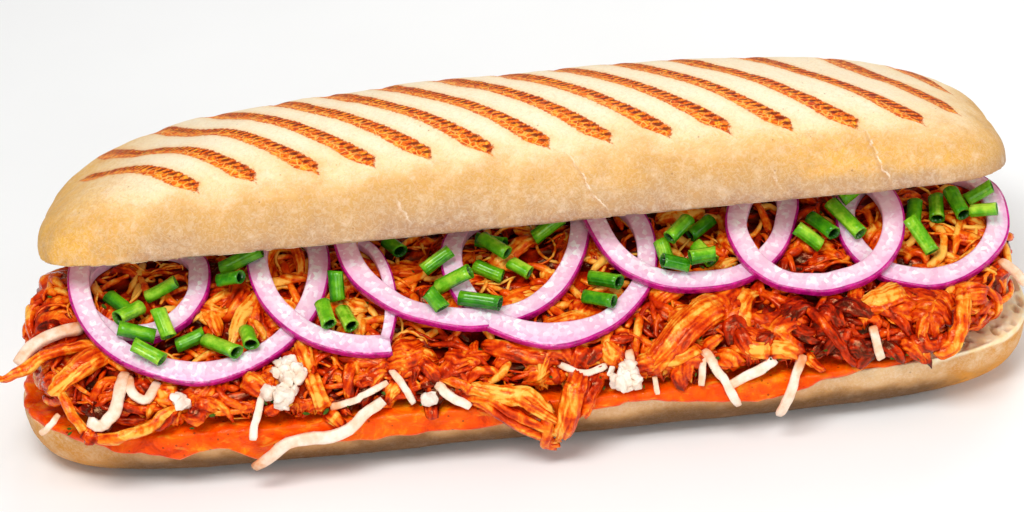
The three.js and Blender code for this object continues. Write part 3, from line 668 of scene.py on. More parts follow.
def creases(grid):
    """How far each point lies from the nearest crease, and how deep the crust is folded there."""
    fold, folded = np.full(grid.shape[:2], NO_CREASE), np.zeros(grid.shape[:2])
    waver = 1.2 * noise(grid, 6, 8)
    for at, lean, low, high in CREASES:
        away = grid[..., 0] - at - lean * (12 - grid[..., 2]) + waver
        reach = smoothstep(grid[..., 2], low, low + 3) * (1 - smoothstep(grid[..., 2], high - 5, high))
        nearer = np.abs(away) < np.abs(fold)
        fold = np.where(nearer, away, fold)
        folded = np.where(nearer, reach * (grid[..., 1] < 0), folded)
    return dict(fold=fold, folded=folded)


def crumb_pores(points, seed):
    """How deep the holes of the crumb are at those points, from 0 to 1."""
    warped = points + 0.8 * noise_vectors(points, 2.5, seed + 50)
    small = smoothstep(noise(warped, 1.9, seed), 0.22, 0.6)
    large = smoothstep(noise(warped, 3.6, seed + 1), 0.3, 0.6)
    return np.maximum(0.7 * small, large)


def build_upper_bread(material):
    grid, share = bread_grid(UPPER, *UPPER_ROWS)
    x, y = grid[..., 0], grid[..., 1]
    crust = (share > 0).astype(float)
    marks, folds = grill_marks(grid, share), creases(grid)
    off = (marks["line"] - np.round(marks["line"])) * marks["pitch"]
    groove = marks["char"] * np.exp(-((off / GROOVE_HALF_WIDTH) ** 4))
    swell = swelling(grid, 1, (0.5, 22), (0.22, 7), (0.07, 2.2))
    swell -= CREASE_DEPTH * folds["folded"] * bell(folds["fold"], 1.0)
    pore = crumb_pores(grid, 6)
    move = crust * (swell - GROOVE_DEPTH * groove) - (1 - crust) * UPPER_PORE_DEPTH * pore
    # the edge of the cut is a little ragged
    rim_row = (share > 0) & (share < 0.01)
    move = np.where(rim_row, move - 0.25 * np.abs(noise(grid, 1.1, 9)), move)
    ends = 0.95 * smoothstep(-x, 88, 122) + 0.1 * smoothstep(x, 98, 124)
    patches = 0.75 * smoothstep(noise(grid, 26, 10), -0.1, 0.5) * smoothstep(share, 0.12, 0.3)
    gold = np.clip(ends + patches * (1 - smoothstep(share, 0.5, 0.7)), 0, 1) * crust
    widen = 0.22 * smoothstep(y, -18, 4) * smoothstep(x, -90, -50) + 0.4 * smoothstep(x, 70, 112)
    points, faces, values = weld(
        grid + grid_normals(grid) * move[..., None], high=share, gold=gold, cut=1 - crust, pore=pore,
        wide=MARK_HALF_WIDTH * (1 + widen), **marks, **folds,
    )
    return add_piece(
        "upper_crust", upper_placed(points), faces, material, "bread_upper", ["bread_upper"], **values
    )


def build_lower_bread(material):
    grid, share = bread_grid(LOWER, *LOWER_ROWS)
    x = grid[..., 0]
    crust = (share > 0).astype(float)
    # the crust is torn off the upper edge of the right end, where the crumb shows
    tear_height = 0.09 - share + 0.05 * noise(grid, 5, 17)
    torn = smoothstep(x + 3 * noise(grid, 7, 16), 98, 106) * smoothstep(tear_height, 0, 0.03)
    crumb = np.maximum(1 - crust, torn)
    # the holes fade out before the edge
    pore = crumb_pores(grid, 14) * np.interp(np.arange(len(grid)), [18, 25], [1, 0])[:, None]
    swell = swelling(grid, 11, (0.35, 18), (0.16, 6), (0.06, 2))
    bottom = share > LOWER["flat"] - 0.04
    move = np.where(bottom, 0, (1 - crumb) * swell - crumb * LOWER_PORE_DEPTH * pore)
    gold = 0.1 + 0.9 * smoothstep(np.abs(x), 98, 122) + 0.7 * smoothstep(x, 100, 120)
    # the lower crust is painted darker towards its foot, which is painted shade, less so at its ends
    tone = share * (1 - 0.53 * smoothstep(-x, 96, 122) - 0.26 * smoothstep(x, 96, 122))
    points, faces, values = weld(
        grid + grid_normals(grid) * move[..., None], high=tone, gold=np.clip(gold, 0, 1) * crust,
        cut=crumb, pore=pore,
    )
    add_piece(
        "lower_crust", turned_up(points, RIM), faces, material, "bread_lower", ["bread_lower"], **values
    )


# ---- sauce

# x along the front, and how far down the crust the sauce reaches there.
SAUCE_REACH = [
    (-131, -0.6), (-124, 0), (-116, 1), (-106, 3.4), (-98, 5), (-90, 6.5), (-84, 4.5), (-77, 4.5),
    (-71, 9.5), (-66, 8.0), (-60, 5.0), (-45, 5.5), (-30, 5.5), (-18, 5.6), (-6, 4.2), (8, 4.2),
    (16, 3.6), (26, 2.4), (36, 2.8), (46, 4.6), (58, 5.6), (66, 4.6), (74, 2.2), (84, 0.4), (94, -1),
    (104, -3), (112, -6), (120, -9), (131, -10),
]
SAUCE_POINTS = 900
SAUCE_ROWS, SAUCE_UNDER_ROWS = 28, 6
# The sauce starts this far in from the rim, under the filling.
SAUCE_INSET = -12.0
SAUCE_THICKNESS, SAUCE_BEAD, SAUCE_GAP = 1.3, 0.55, 0.12


def sauce_reach(edge):
    """How far down the crust the sauce ends at points of the rim, or in from the rim if negative."""
    x, y = edge.T
    flat = np.stack([x, y, 0 * x], -1)
    front = np.interp(x, *zip(*SAUCE_REACH))
    ripple = 0.8 * noise(flat, 5, 20) + 0.3 * noise(flat, 2.2, 19)
    left = smoothstep(-x, 100, 126) * smoothstep(-y, -22, 6)
    back = -2.5 - 4.5 * smoothstep(x, 100, 126)
    return back + (front + ripple - back) * np.maximum(smoothstep(-y, 0, 22), left)


def on_lower_bread(plan, reach):
    """Points that far down the crust of the lower bread, or in from its rim if negative."""
    down = np.maximum(reach, 0)
    side = (1 - (down / LOWER["height"]) ** LOWER["roundness"]) ** (1 / LOWER["shoulder"])
    x, y = narrowed(LOWER, plan, np.where(reach < 0, 1 + reach / LOWER["half_depth"], side))
    return np.stack([x, y, RIM - down], -1)


def build_sauce(material):
    plan = plan_loop(LOWER, SAUCE_POINTS)
    half_length, half_depth = LOWER["half_length"], LOWER["half_depth"]
    outward = unit(np.stack([
        signed_power(plan[:, 0] / half_length, LOWER["end_power"] - 1) / half_length,
        signed_power(plan[:, 1] / half_depth, LOWER["side_power"] - 1) / half_depth,
        0 * plan[:, 0],
    ], -1))
    end = sauce_reach(plan)
    rows = []
    for t in np.linspace(0, 1, SAUCE_ROWS):
        at = SAUCE_INSET + (end - SAUCE_INSET) * t
        lean = smoothstep(at, -4, 3.5)[:, None]
        direction = unit(np.array([0, 0, 1.0]) * (1 - lean) + outward * lean)
        base = on_lower_bread(plan, at)
        to_end = (1 - t) * (end - SAUCE_INSET)
        thick = SAUCE_THICKNESS + SAUCE_BEAD * bell(to_end - 1.2, 1.1)
        thick = thick + 0.6 * noise(base, 8, 21) + 0.35 * noise(base, 3.4, 22)
        thick = thick * np.sqrt(np.clip(to_end / 0.9, 0, 1))
        rows.append(base + direction * (SAUCE_GAP + np.maximum(thick, 0))[:, None])
    for t in np.linspace(1, 0, SAUCE_UNDER_ROWS):
        at = SAUCE_INSET + (end - SAUCE_INSET) * t
        rows.append(on_lower_bread(plan, at) + np.array([0, 0, -0.05]))
    points, faces, _ = weld(np.array(rows))
    add_piece("sauce_layer", points, faces, material, "sauce", ["sauce"])


# ---- onion and chives

# Degrees for each step round a slice, and for each measure of its lift.
RING_STEP, LIFT_STEP = 1.6, 6
# How many steps to each side a slice levels out the lifts, and eases over them.
RING_SPREAD, RING_EASE = 20, 18
# Points on top of a slice: the width over this number, and the rise there.
RING_TOP = [(-6, 0.04), (8, 0.04), (3, 0.02)]
# Where the skin begins, in from the outer wall.
SKIN = 0.34
# How much the lowest part of a slice draws in where the heap bends down under it.
DRAWN_IN = {"i": 1.2}
# A piece of chive is lifted so many times at most, and by so much each time.
LIFTS, LIFT_BY = 12, 0.3


def ring_lift(name, x, up):
    """The angle and the lift of a slice's underside, as its solid has them."""
    placed = to_profile(cad_points(f"onion_{name}"))
    angle = np.degrees(np.arctan2(placed[:, 1] - up, placed[:, 0] - x)) % 360
    bins = np.round(angle / LIFT_STEP).astype(int) % (360 // LIFT_STEP)
    keys = sorted(set(bins.tolist()))
    return np.array(keys) * float(LIFT_STEP), np.array([placed[bins == b, 2].min() for b in keys])


def eased_lift(name, x, up, angle, whole):
    """A smooth curve just over the lifts, as a slice is too stiff to follow them closely."""
    lift = np.interp(angle % 360, *ring_lift(name, x, up), period=360)
    kernel = np.hanning(2 * RING_EASE + 1) / np.hanning(2 * RING_EASE + 1).sum()
    padded = np.pad(lift, RING_EASE + RING_SPREAD, mode="wrap" if whole else "edge")
    padded = np.max([np.roll(padded, k) for k in range(-RING_SPREAD, RING_SPREAD + 1)], axis=0)
    return np.convolve(padded, kernel, mode="valid")[RING_SPREAD:-RING_SPREAD]


def ring_section(width):
    """The outline across a slice, rounded at its edges and a little raised on top."""
    out = []
    for side, top, first in ((-1, -1, 180), (-1, 1, 90), (1, 1, 0), (1, -1, -90)):
        for turn in (90, 60, 30, 0):
            a = math.radians(first + turn)
            u = side * (width / 2 - RING_EDGE) + RING_EDGE * math.cos(a)
            out.append((u, top * (RING_THICKNESS / 2 - RING_EDGE) + RING_EDGE * math.sin(a)))
        if (side, top) == (-1, 1):
            out += [(width / part, RING_THICKNESS / 2 + rise) for part, rise in RING_TOP]
    return np.array(out).T


def build_ring(name, ring, material):
    x, up, radius, width, arc = ring
    start, stop = arc or (0, 360)
    angle = np.linspace(start, stop, int((stop - start) / RING_STEP) + 1)[: None if arc else -1]
    lift = eased_lift(name, x, up, angle, not arc)
    section, level = ring_section(width)
    radians = np.radians(angle)
    seed = ord(name)
    around = np.stack([np.cos(radians) * 9, np.sin(radians) * 9, 0 * radians + seed], -1)
    wobble = 0.35 * noise(around, 3.0, seed)
    fat = 1 + 0.1 * noise(around, 4.0, seed + 1)
    middle = radius - width / 2 + wobble - DRAWN_IN.get(name, 0) * bell(angle - 270, 24)
    r = middle[:, None] + section * fat[:, None]
    east, north = r * np.cos(radians)[:, None], r * np.sin(radians)[:, None]
    ripple = 0.1 * noise(np.stack([east, north, 0 * r + seed], -1), 2.4, 30)
    level = lift[:, None] + RING_THICKNESS / 2 + level + 0.05 + ripple * (level > 0)
    points, _ = on_profile(x + east, up + north, level)
    tone = np.where(section > width / 2 - SKIN, 1.0, np.minimum(section / width + 0.5, 0.9))
    rows, count = r.shape
    if arc:
        faces = grid_faces(rows, count)
        faces += [list(range(count)), list(range((rows - 1) * count, rows * count))[::-1]]
    else:
        faces = closed_faces(rows, count)
    return add_piece(
        f"onion_slice_{name}", points.reshape(-1, 3), faces, material, "onion", [f"onion_{name}"],
        across=np.broadcast_to(tone, r.shape),
    )


def chive_axes():
    """The middle, direction and length of each piece of chive, read from its solid."""
    for node in CHIVE_NODES:
        points = cad_points(node)
        middle = points.mean(0)
        along = np.linalg.svd(points - middle, full_matrices=False)[2][0]
        reach = (points - middle) @ along
        yield middle, along, 0.95 * (reach.max() - reach.min())


def clear_of(tree, middle, along, length):
    """Lifts a piece of chive off the slices that it would sink into."""
    _, normal = on_profile(*to_profile(middle[None])[0][:2])
    for _ in range(LIFTS):
        spots = [middle + along * (length * t) for t in (-0.5, -0.25, 0, 0.25, 0.5)]
        gap = min(tree.find_nearest(Vector(spot))[3] for spot in spots)
        if gap > CHIVE_RADIUS:
            break
        middle = middle + normal * LIFT_BY
    return middle


def build_chives(slices, material, random):
    sides, steps = 22, 7
    # each ring's radius, place along the piece, and how far inside the tube it lies
    shares = np.linspace(-0.5, 0.5, steps)
    rings = [(CHIVE_RADIUS, t, 0) for t in shares] + [(1.78, 0.5, 0.15), (1.5, 0.5, 0.4)]
    rings += [(CHIVE_BORE, t, 1) for t in shares[::-1][1:-1]] + [(1.5, -0.5, 0.4), (1.78, -0.5, 0.15)]
    faces = closed_faces(len(rings), sides)
    theta = np.arange(sides) / sides * 2 * np.pi
    tree = blockers(slices)
    parts, tints, insides, ribs = [], [], [], []
    for middle, along, length in chive_axes():
        middle = clear_of(tree, middle, along, length)
        across = unit(np.cross(along, np.array([0, 0, 1.0])))
        upward = np.cross(across, along)
        squash = random.uniform(0.8, 1.0)
        bend = random.uniform(-0.5, 0.5)
        spin = random.uniform(0, 6.28)
        tone = random.uniform(0.3, 0.75)
        cut = random.uniform(-0.5, 0.5, 2)
        shape = 1 + 0.035 * np.sin(3 * theta + spin) + 0.02 * np.sin(7 * theta + spin)
        points = []
        for radius, t, inside in rings:
            slant = (cut[0] if t < 0 else cut[1]) * (2 * abs(t)) ** 4
            flare = 1 + 0.05 * (2 * abs(t)) ** 6
            points.append(
                middle
                + along * (t * length + slant * np.cos(theta))[:, None]
                + upward * (bend * (0.25 - t * t))
                + across * (radius * flare * shape * np.cos(theta))[:, None]
                + upward * (radius * flare * shape * np.sin(theta) * squash)[:, None]
            )
            # the top of each piece is painted lighter and its underside darker: painted highlight and painted
            # shade
            tints.append(np.clip(tone + 0.18 * np.sin(theta) + 0.14 * np.sin(2 * theta + spin), 0, 1))
            insides.append(np.full(sides, float(inside)))
            ribs.append(np.sin(11 * theta + spin))
        parts.append((np.concatenate(points), faces))
    return add_piece(
        "chive_pieces", *joined(parts), material, "chive", CHIVE_NODES,
        tint=np.array(tints), inside=np.array(insides), rib=np.array(ribs),
    )


# ---- chicken

# Single strands: count, steps, radius, length, bend, lift, tint and sides.
STRANDS = (520, 11, (0.7, 1.25), (7, 19), 1.9, (-0.3, 1.3), 0.37, 8)
THREADS = (460, 9, (0.3, 0.6), (5, 14), 1.6, (0.2, 1.8), 0.36, 6)
# Torn pieces: all over the heap, along its foot, and at the right of that.
CHUNKS, FOOT_CHUNKS, RIGHT_CHUNKS = 205, 70, 34
# A torn piece has this many shades and lengths of fibre, and so many sides for each mm of half width.
FIBRES, SIDES_PER_MM, FEWEST_SIDES, MOST_SIDES = 64, 13, 16, 56
# Points around the core of the heap, and rows of them.
CORE_GRID = (520, 84)
# Tints stay between pale gold and deep red.
TINT_RANGE = (0.03, 0.9)


def heap_points(around, rows):
    """The bare heap of meat, as its solid has it but finer."""
    size = np.array([HEAP["half_depth"], HEAP["side"]])
    spread, rise = (resample(np.array(HEAP_LOOPS) * size, rows) / size).T[..., None]
    x, y = narrowed(HEAP, plan_loop({**LOWER, **HEAP}, around), spread)
    wave = sum(
        high * np.sin(turn_x * 1.7 * x + turn_y * 1.7 * y + phase + HEAP["phase"])
        for high, turn_x, turn_y, phase in WAVES
    )
    dip = HEAP["lump"] * (0.5 + 0.5 * wave)
    top = np.interp(y, heap_curve[:, 0], heap_curve[:, 1])
    return np.stack([x, y, HEAP["foot"] + rise * (top - dip - HEAP["foot"])], -1)


def build_core(material):
    """The inside of the heap, torn meat too: fibres that wander along it, with deep gaps between.
    Returned with a search tree of the bare heap."""
    grid = heap_points(*CORE_GRID)
    warp = noise_vectors(grid, 8, 44)
    fibre = 1 - 2.6 * np.abs(noise((grid + 3.5 * warp) * np.array([0.4, 1, 1]), 3.6, 40))
    fibre = np.maximum(fibre, -0.7)
    relief = 0.8 * fibre + 0.5 * noise(grid, 5, 41) - 0.6 + 0.9 * smoothstep(np.abs(grid[..., 0]), 108, 119)
    relief = relief * smoothstep(grid[..., 2], HEAP["foot"] + 0.1, HEAP["foot"] + 2)
    under = [list(range(grid.shape[1]))[::-1]]
    points, faces, values = weld(grid + grid_normals(grid) * relief[..., None], under, high=fibre)
    # the core is painted near black red as painted shade in the gaps between the pieces, lighter at the
    # sauced ends; fibre crests are painted lighter, painted light
    tint = 0.88 - 0.12 * noise(points, 9, 42) - 0.36 * smoothstep(np.abs(points[:, 0]), 108, 119)
    tint = tint - 0.12 * values["high"]
    piece = add_piece("chicken_core", points, faces, material, "chicken", ["chicken"], tint=tint, **values)
    bare, bare_faces, _ = weld(grid, under)
    return piece, BVHTree.FromPolygons([Vector(p) for p in bare], bare_faces)


def blockers(pieces):
    """One search tree of the pieces that lie over the chicken, without the cheese under it."""
    points, faces = [], []
    for piece in pieces:
        base = len(points)
        spots = [Vector(p) for p in design_points(piece.data)]
        points += spots
        faces += [
            [base + i for i in f.vertices] for f in piece.data.polygons
            if abs(spots[f.vertices[0]].y) > BED_DEPTH or spots[f.vertices[0]].z > BED_TOP
        ]
    return BVHTree.FromPolygons(points, faces)


def red_zone(x):
    """Where along the heap the sauce pools dark and red."""
    return bell(x - 74, 14) + 0.2 * bell(x + 118, 10)


def shade_by_place(x, y):
    """How much darker the meat is where the sauce pools, and, as painted shade, at the open front; further
    in, under the upper bread, it is painted lighter: painted light.
    """
    return 0.3 * red_zone(x) + 0.2 * smoothstep(-y, 10, 30) - 0.11


def sauce_and_shade_by_depth(lift):
    """How much darker and redder the meat is painted where it lies deep: the red of pooled sauce, and painted
    shade in the gaps.
    """
    return 0.54 * (1 - smoothstep(lift, -0.7, 1.4))


def either_way(random, spread):
    """A heading along the heap, to the right or to the left."""
    return random.normal(0, spread) + (math.pi if random.random() < 0.5 else 0)


def scatter(heap, count, random):
    """Random starts on the heap, as points and normals, thinner where the upper bread hides it."""
    piece, core = heap
    polygons = piece.data.polygons
    centres = np.array([f.center for f in polygons]) * 1000 - SHIFT
    x, y, z = centres.T
    weight = np.array([f.area for f in polygons]) * (1 - 0.72 * smoothstep(y, 2, 12))
    weight *= 1 - 0.75 * smoothstep(-x, 112, 122) - 0.8 * smoothstep(x, 117, 123)
    weight *= (z > HEAP["foot"] + 0.6) * (1 + smoothstep(-y, 22, 32))
    picks = random.choice(len(centres), count, p=weight / weight.sum())
    return [core.find_nearest(Vector(centres[k]))[:2] for k in picks]


def walk(heap, start, heading, bend, length, steps):
    """A path over the heap from a start on it."""
    core = heap[1]
    point, normal = start
    points, normals = [], []
    flat = Vector((math.cos(heading), math.sin(heading), 0))
    for _ in range(steps):
        points.append(point)
        normals.append(normal)
        along = (flat - normal * flat.dot(normal)).normalized()
        flat = Matrix.Rotation(bend / (steps - 1), 3, normal) @ along
        point, normal, _, _ = core.find_nearest(point + along * (length / (steps - 1)))
    return np.array(points), np.array(normals)


def held_under(core_points, normals, lift, radius, blocked):
    """Lowers a fibre where another piece lies over it."""
    reach, below = 9.0, 1.5
    room = radius + 0.3
    out = lift.copy()
    for i, (p, n) in enumerate(zip(core_points, normals)):
        hit = blocked.ray_cast(Vector(p - n * below), Vector(n), reach)
        if hit[0] is not None:
            out[i] = min(out[i], hit[3] - below - radius - 0.1)
        near = blocked.find_nearest(Vector(p + n * out[i]), room)
        if near[0] is not None:
            out[i] -= room - near[3]
    out[1:-1] = np.minimum(out[1:-1], (out[:-2] + out[2:]) / 2 + 0.25)
    return out


def chunk(path, normal, width, height, pitch, twist, shade, random):
    """A torn piece of meat: its fibres show as ridges along it and fray at its ends."""
    sides = int(np.clip(SIDES_PER_MM * width.max(), FEWEST_SIDES, MOST_SIDES))
    t = np.linspace(0, 1, len(path))[:, None]
    tangent = unit(np.gradient(path, axis=0))
    across = unit(np.cross(tangent, normal))
    upward = np.cross(across, tangent)
    turn = twist * (t - 0.5)
    side = across * np.cos(turn) + upward * np.sin(turn)
    top = upward * np.cos(turn) - across * np.sin(turn)
    theta = (np.arange(sides) + 0.5) / sides * 2 * np.pi
    c, s = signed_power(np.cos(theta), 0.85), signed_power(np.sin(theta), 0.9)
    wide, tall = width[:, None] * c, height[:, None] * s
    sway = random.uniform(0, 9) + random.normal(0, 0.5) * t + 0.5 * np.sin(5 * t + random.uniform(0, 6))
    phase = wide / pitch
    wander = 0.3 * np.sin(1.7 * phase + random.uniform(0, 6) + 2 * t)
    phase = phase + sway + wander + 0.2 * np.sin(0.7 * phase + 5 * t)
    fibre = np.round(phase).astype(int) % FIBRES
    ridge = np.where(np.abs(c) < 0.97, np.abs(np.sin(np.pi * phase)), 0.7)
    relief = 0.4 * pitch * (ridge - 0.6) * np.minimum(1, width[:, None] / 1.6)
    lengthen = random.uniform(-1, 1, FIBRES)[fibre]
    fray = smoothstep(np.abs(2 * t - 1), 0.6, 1) * np.sign(2 * t - 1) * lengthen * pitch * 0.9
    points = (
        path[:, None] + side[:, None] * (wide + relief * c)[..., None]
        + top[:, None] * (tall + relief * s)[..., None] + tangent[:, None] * fray[..., None]
    )
    # high marks fibre crests and the upper side, which the material paints lighter, and grooves and the
    # underside, painted darker: painted light and shade
    high = 1.05 * ridge - 0.6 + 0.4 * s
    return points, high, shade[:, None] + random.normal(0, 0.07, FIBRES)[fibre]


def chunk_on(points, normals, half, tall, shape, lift, blocked, pitch, twist, shade, random):
    """A chunk that follows those points, kept under whatever lies over it."""
    width, height = half * shape, tall * shape
    across = unit(np.cross(unit(np.gradient(points, axis=0)), normals))
    free = lift
    for side in (-0.75, 0, 0.75):
        line = points + across * (side * width)[:, None]
        free = np.minimum(free, held_under(line, normals, lift, float(height.max()) * 0.9, blocked))
    shade = shade + sauce_and_shade_by_depth(free)
    return chunk(points + normals * free[:, None], normals, width, height, pitch, twist, shade, random)


def envelope(steps, random):
    """How wide a chunk is along its length."""
    t = np.linspace(0, 1, steps)
    peak = random.uniform(0.3, 0.7)
    rise = np.where(t < peak, t / peak, (1 - t) / (1 - peak))
    ends = random.uniform(0.2, 0.55)
    out = ends + (1 - ends) * np.sin(rise * np.pi / 2) ** 0.8
    out[[0, -1]] *= 0.5
    return out


def heap_chunks(heap, blocked, random, count, steps=15):
    """Chunks all over the heap, redder where the sauce pools, and painted darker where they lie deep and
    lighter where they ride high: painted shade and light.
    """
    t = np.linspace(0, 1, steps)
    for start in scatter(heap, count, random):
        heading = either_way(random, 0.9)
        length = random.uniform(6, 17)
        points, normals = walk(heap, start, heading, random.normal(0, 0.9), length, steps)
        half = random.choice([random.uniform(1.0, 1.8), random.uniform(1.8, 4.2)])
        tall = half * random.uniform(0.4, 0.75) if half > 1.8 else half * random.uniform(0.7, 1)
        shape = envelope(steps, random)
        rise = random.uniform(0.0, 1.0)
        lift = tall * (rise * 1.5 - 0.35) + 0.9 * np.sin(np.pi * t) * random.uniform(0.2, 1.2)
        # pieces that ride higher are painted lighter and lower ones darker: painted light and shade
        shade = random.normal(0.47 - 0.2 * rise, 0.12) + shade_by_place(*points[0][:2])
        yield chunk_on(
            points, normals, half, tall, shape, lift, blocked,
            random.uniform(1.0, 1.6), random.normal(0, 0.7), shade, random,
        )


def rim_chunks(blocked, random, count, along=(-110, 104), heights=(-1.5, 9), steps=13):
    """Chunks along the foot of the heap that hang over its sauce."""
    t = np.linspace(-0.5, 0.5, steps)
    for _ in range(count):
        x, up = random.uniform(*along), random.uniform(*heights)
        heading = either_way(random, 0.7)
        length = random.uniform(6, 13)
        turn = heading + random.normal(0, 1.0) * t
        points, normals = on_profile(
            x + length * t * np.cos(turn), up + length * t * np.sin(turn) - 1.2 * (2 * t) ** 2
        )
        half = random.uniform(0.9, 2.9)
        tall = half * random.uniform(0.5, 0.9)
        shape = envelope(steps, random)
        lift = np.full(steps, tall * random.uniform(0.2, 0.9)) + 1.2 * np.cos(np.pi * t)
        shade = random.normal(0.45, 0.14) + 0.3 * red_zone(x)
        yield chunk_on(
            points, normals, half, tall, shape, lift, blocked,
            random.uniform(0.95, 1.5), random.normal(0, 0.6), shade, random,
        )


# Shreds that stand out, by half width, half height, tint and places: x, distance up the heap, and lift.
HERO_SHREDS = [
    (1.6, 1.3, 0.12, [
        (-101, 22, 1), (-111, 20.5, 2), (-121.6, 18.6, 2.5), (-128.4, 14.8, 2), (-132, 13.6, 1.5),
        (-133.6, 15.4, 1.5),
    ]),
    (1.5, 1.3, 0.14, [
        (-119, 12, 0.5), (-116, 5.5, 1.8), (-112, -1.5, 1.6), (-106, -4.6, 1.5), (-98, -2.8, 2),
        (-91, 0.6, 2.2), (-84, 4.5, 1),
    ]),
    (3.2, 1.9, 0.2, [(-97, 22, 1), (-107, 17.6, 2.6), (-114, 12.4, 2.8), (-119.5, 8.5, 1.6)]),
    (2.3, 1.6, 0.16, [
        (-58, 22, 0.5), (-55.6, 14.3, 2.2), (-53.4, 4.2, 2.6), (-51, -2.4, 2.0), (-46.6, -7.9, 1.0),
    ]),
    (1.6, 1.3, 0.2, [(-25, 5, 0.8), (-18, 1.2, 2.4), (-8, -2.8, 3), (2, -7, 3), (8, -11, 2)]),
    (1.4, 1.2, 0.24, [(-24, 2.6, 0.8), (-15, -2, 2.4), (-6, -6.4, 2.8), (3, -11, 2.8), (7.6, -14, 2)]),
    (1.3, 1.1, 0.3, [(-22, 0.6, 0.8), (-13, -4.4, 2), (-5, -9.2, 2.4), (3, -14, 2.4), (6.8, -16.6, 1.6)]),
    (2.5, 1.2, 0.04, [(-14, 0.4, 1.6), (-7, -2.2, 3.2), (0, -5, 3.2), (5.4, -8, 2)]),
    (3.0, 2.2, 0.34, [(14.5, 4, 1), (12, -3, 3), (9, -9, 3), (6.4, -14.5, 2)]),
    (1.5, 1.3, 0.36, [(4.5, -6, 1), (3.8, -11, 2.4), (3, -15.5, 2.6), (6, -18, 2)]),
    (1.6, 1.3, 0.36, [(20, 3, 0.5), (16.5, -3.5, 1.8), (12.5, -10, 2.4)]),
    (1.5, 1.2, 0.3, [
        (-65.6, 33.5, 0.5), (-64.6, 42, 1.8), (-61, 47.6, 2), (-57.2, 46.4, 2), (-55.6, 40, 1.6),
        (-55.6, 34, 0.5),
    ]),
    (1.2, 1.0, 0.1, [(-67, 33.2, 1.2), (-61, 34.4, 2.2), (-54, 35.4, 1)]),
    (2.1, 1.6, 0.34, [(112, 14, 0.5), (110.8, 8, 2.6), (109, 2, 3), (105.4, -2, 3), (101.6, -4, 2.4)]),
    (1.6, 1.3, 0.3, [(107, 12, 0.6), (103.4, 8, 2), (100, 4.5, 2.6), (99.4, 0, 2.4), (101, -4.6, 2)]),
    (4.4, 2.4, 0.22, [(58, 20.4, 0.8), (51, 15.6, 2.8), (44, 10.4, 3.6), (36.6, 5, 3.2), (30, 0.4, 1.6)]),
    (1.8, 1.4, 0.1, [(50, 6.5, 0.8), (43, 3.4, 3), (36.5, 1.6, 2.8), (31, 2.6, 1.4)]),
    (3.4, 1.6, 0.2, [(22, 16, 0.6), (30, 17.8, 2.4), (38, 20.4, 2.6), (46, 25, 1)]),
    (2.8, 1.7, 0.2, [(32, 20, 0.6), (24, 16.6, 2), (15, 14.4, 2.2), (5, 12.6, 1)]),
    (3.4, 1.8, 0.16, [(82, 9.6, 0.8), (89, 10.5, 2.4), (96, 13, 2.6), (104, 17, 0.8)]),
    (3.0, 1.8, 0.26, [(90, 27, 0.6), (96, 31, 2.0), (104, 35, 2.0), (111, 41, 0.8)]),
    (2.4, 1.5, 0.12, [(-14, 29, 0.6), (-6, 33.6, 1.8), (2, 39, 1.8), (9, 45, 0.8)]),
    (3.0, 1.9, 0.26, [(-46, 11, 0.6), (-38, 9, 2.2), (-30, 8.4, 2.4), (-23, 8, 0.8)]),
    (2.6, 1.7, 0.26, [(-80, 13, 0.6), (-73, 8.4, 2.4), (-67, 4.4, 2.4), (-61, 0.6, 1)]),
    (2.8, 1.9, 0.4, [(-10, 10, 0.6), (-3, 7, 2.4), (5, 5.4, 2.6), (12, 5, 0.9)]),
    (1.4, 1.2, 0.4, [(58, 10, 0.6), (64, 5, 2.4), (70, 0, 2.4), (74, -5, 1.6)]),
    (1.5, 1.3, 0.5, [(70, 13, 0.6), (75, 7, 2.4), (79, 1, 2.4), (82, -4, 1.4)]),
    (2.4, 1.6, 0.2, [(52, 4, 0.6), (59, 2.2, 2.4), (66, 1.2, 2.6), (73, -2.5, 1)]),
    (1.2, 1.0, 0.3, [(48, 24, 0.5), (50, 18, 1.8), (52, 12, 2.2), (51, 6, 1)]),
    (1.3, 1.1, 0.4, [(84, 26, 0.5), (86, 19, 2), (84, 12, 2.4), (86, 5, 1)]),
]


def hero_chunks(blocked, random, steps=26):
    """The shreds that stand out."""
    for half, tall, shade, stops in HERO_SHREDS:
        x, up, lift = resample(catmull_rom(stops, 20), steps).T
        points, normals = on_profile(x, up)
        shape = envelope(steps, random) ** 0.6
        yield chunk_on(
            points, normals, half, tall, shape, lift + 0.2, blocked,
            random.uniform(1.0, 1.35), random.normal(0, 0.4), shade + 0.05, random,
        )


def join_chunks(name, chunks, material):
    parts, high, tint = [], [], []
    for grid, crest, shade in chunks:
        rows, sides = crest.shape
        cap = np.arange(sides)
        faces = np.array(grid_faces(rows, sides))[:, ::-1].tolist()
        faces += [cap.tolist(), (cap[::-1] + (rows - 1) * sides).tolist()]
        parts.append((grid.reshape(-1, 3), faces))
        high.append(crest.ravel())
        tint.append(shade.ravel())
    points, faces = joined(parts)
    points = points + 0.34 * noise_vectors(points, 2.6, 50) + 0.13 * noise_vectors(points, 1.2, 53)
    add_piece(
        name, points, faces, material, "chicken",
        tint=np.clip(np.concatenate(tint), *TINT_RANGE), high=np.concatenate(high),
    )


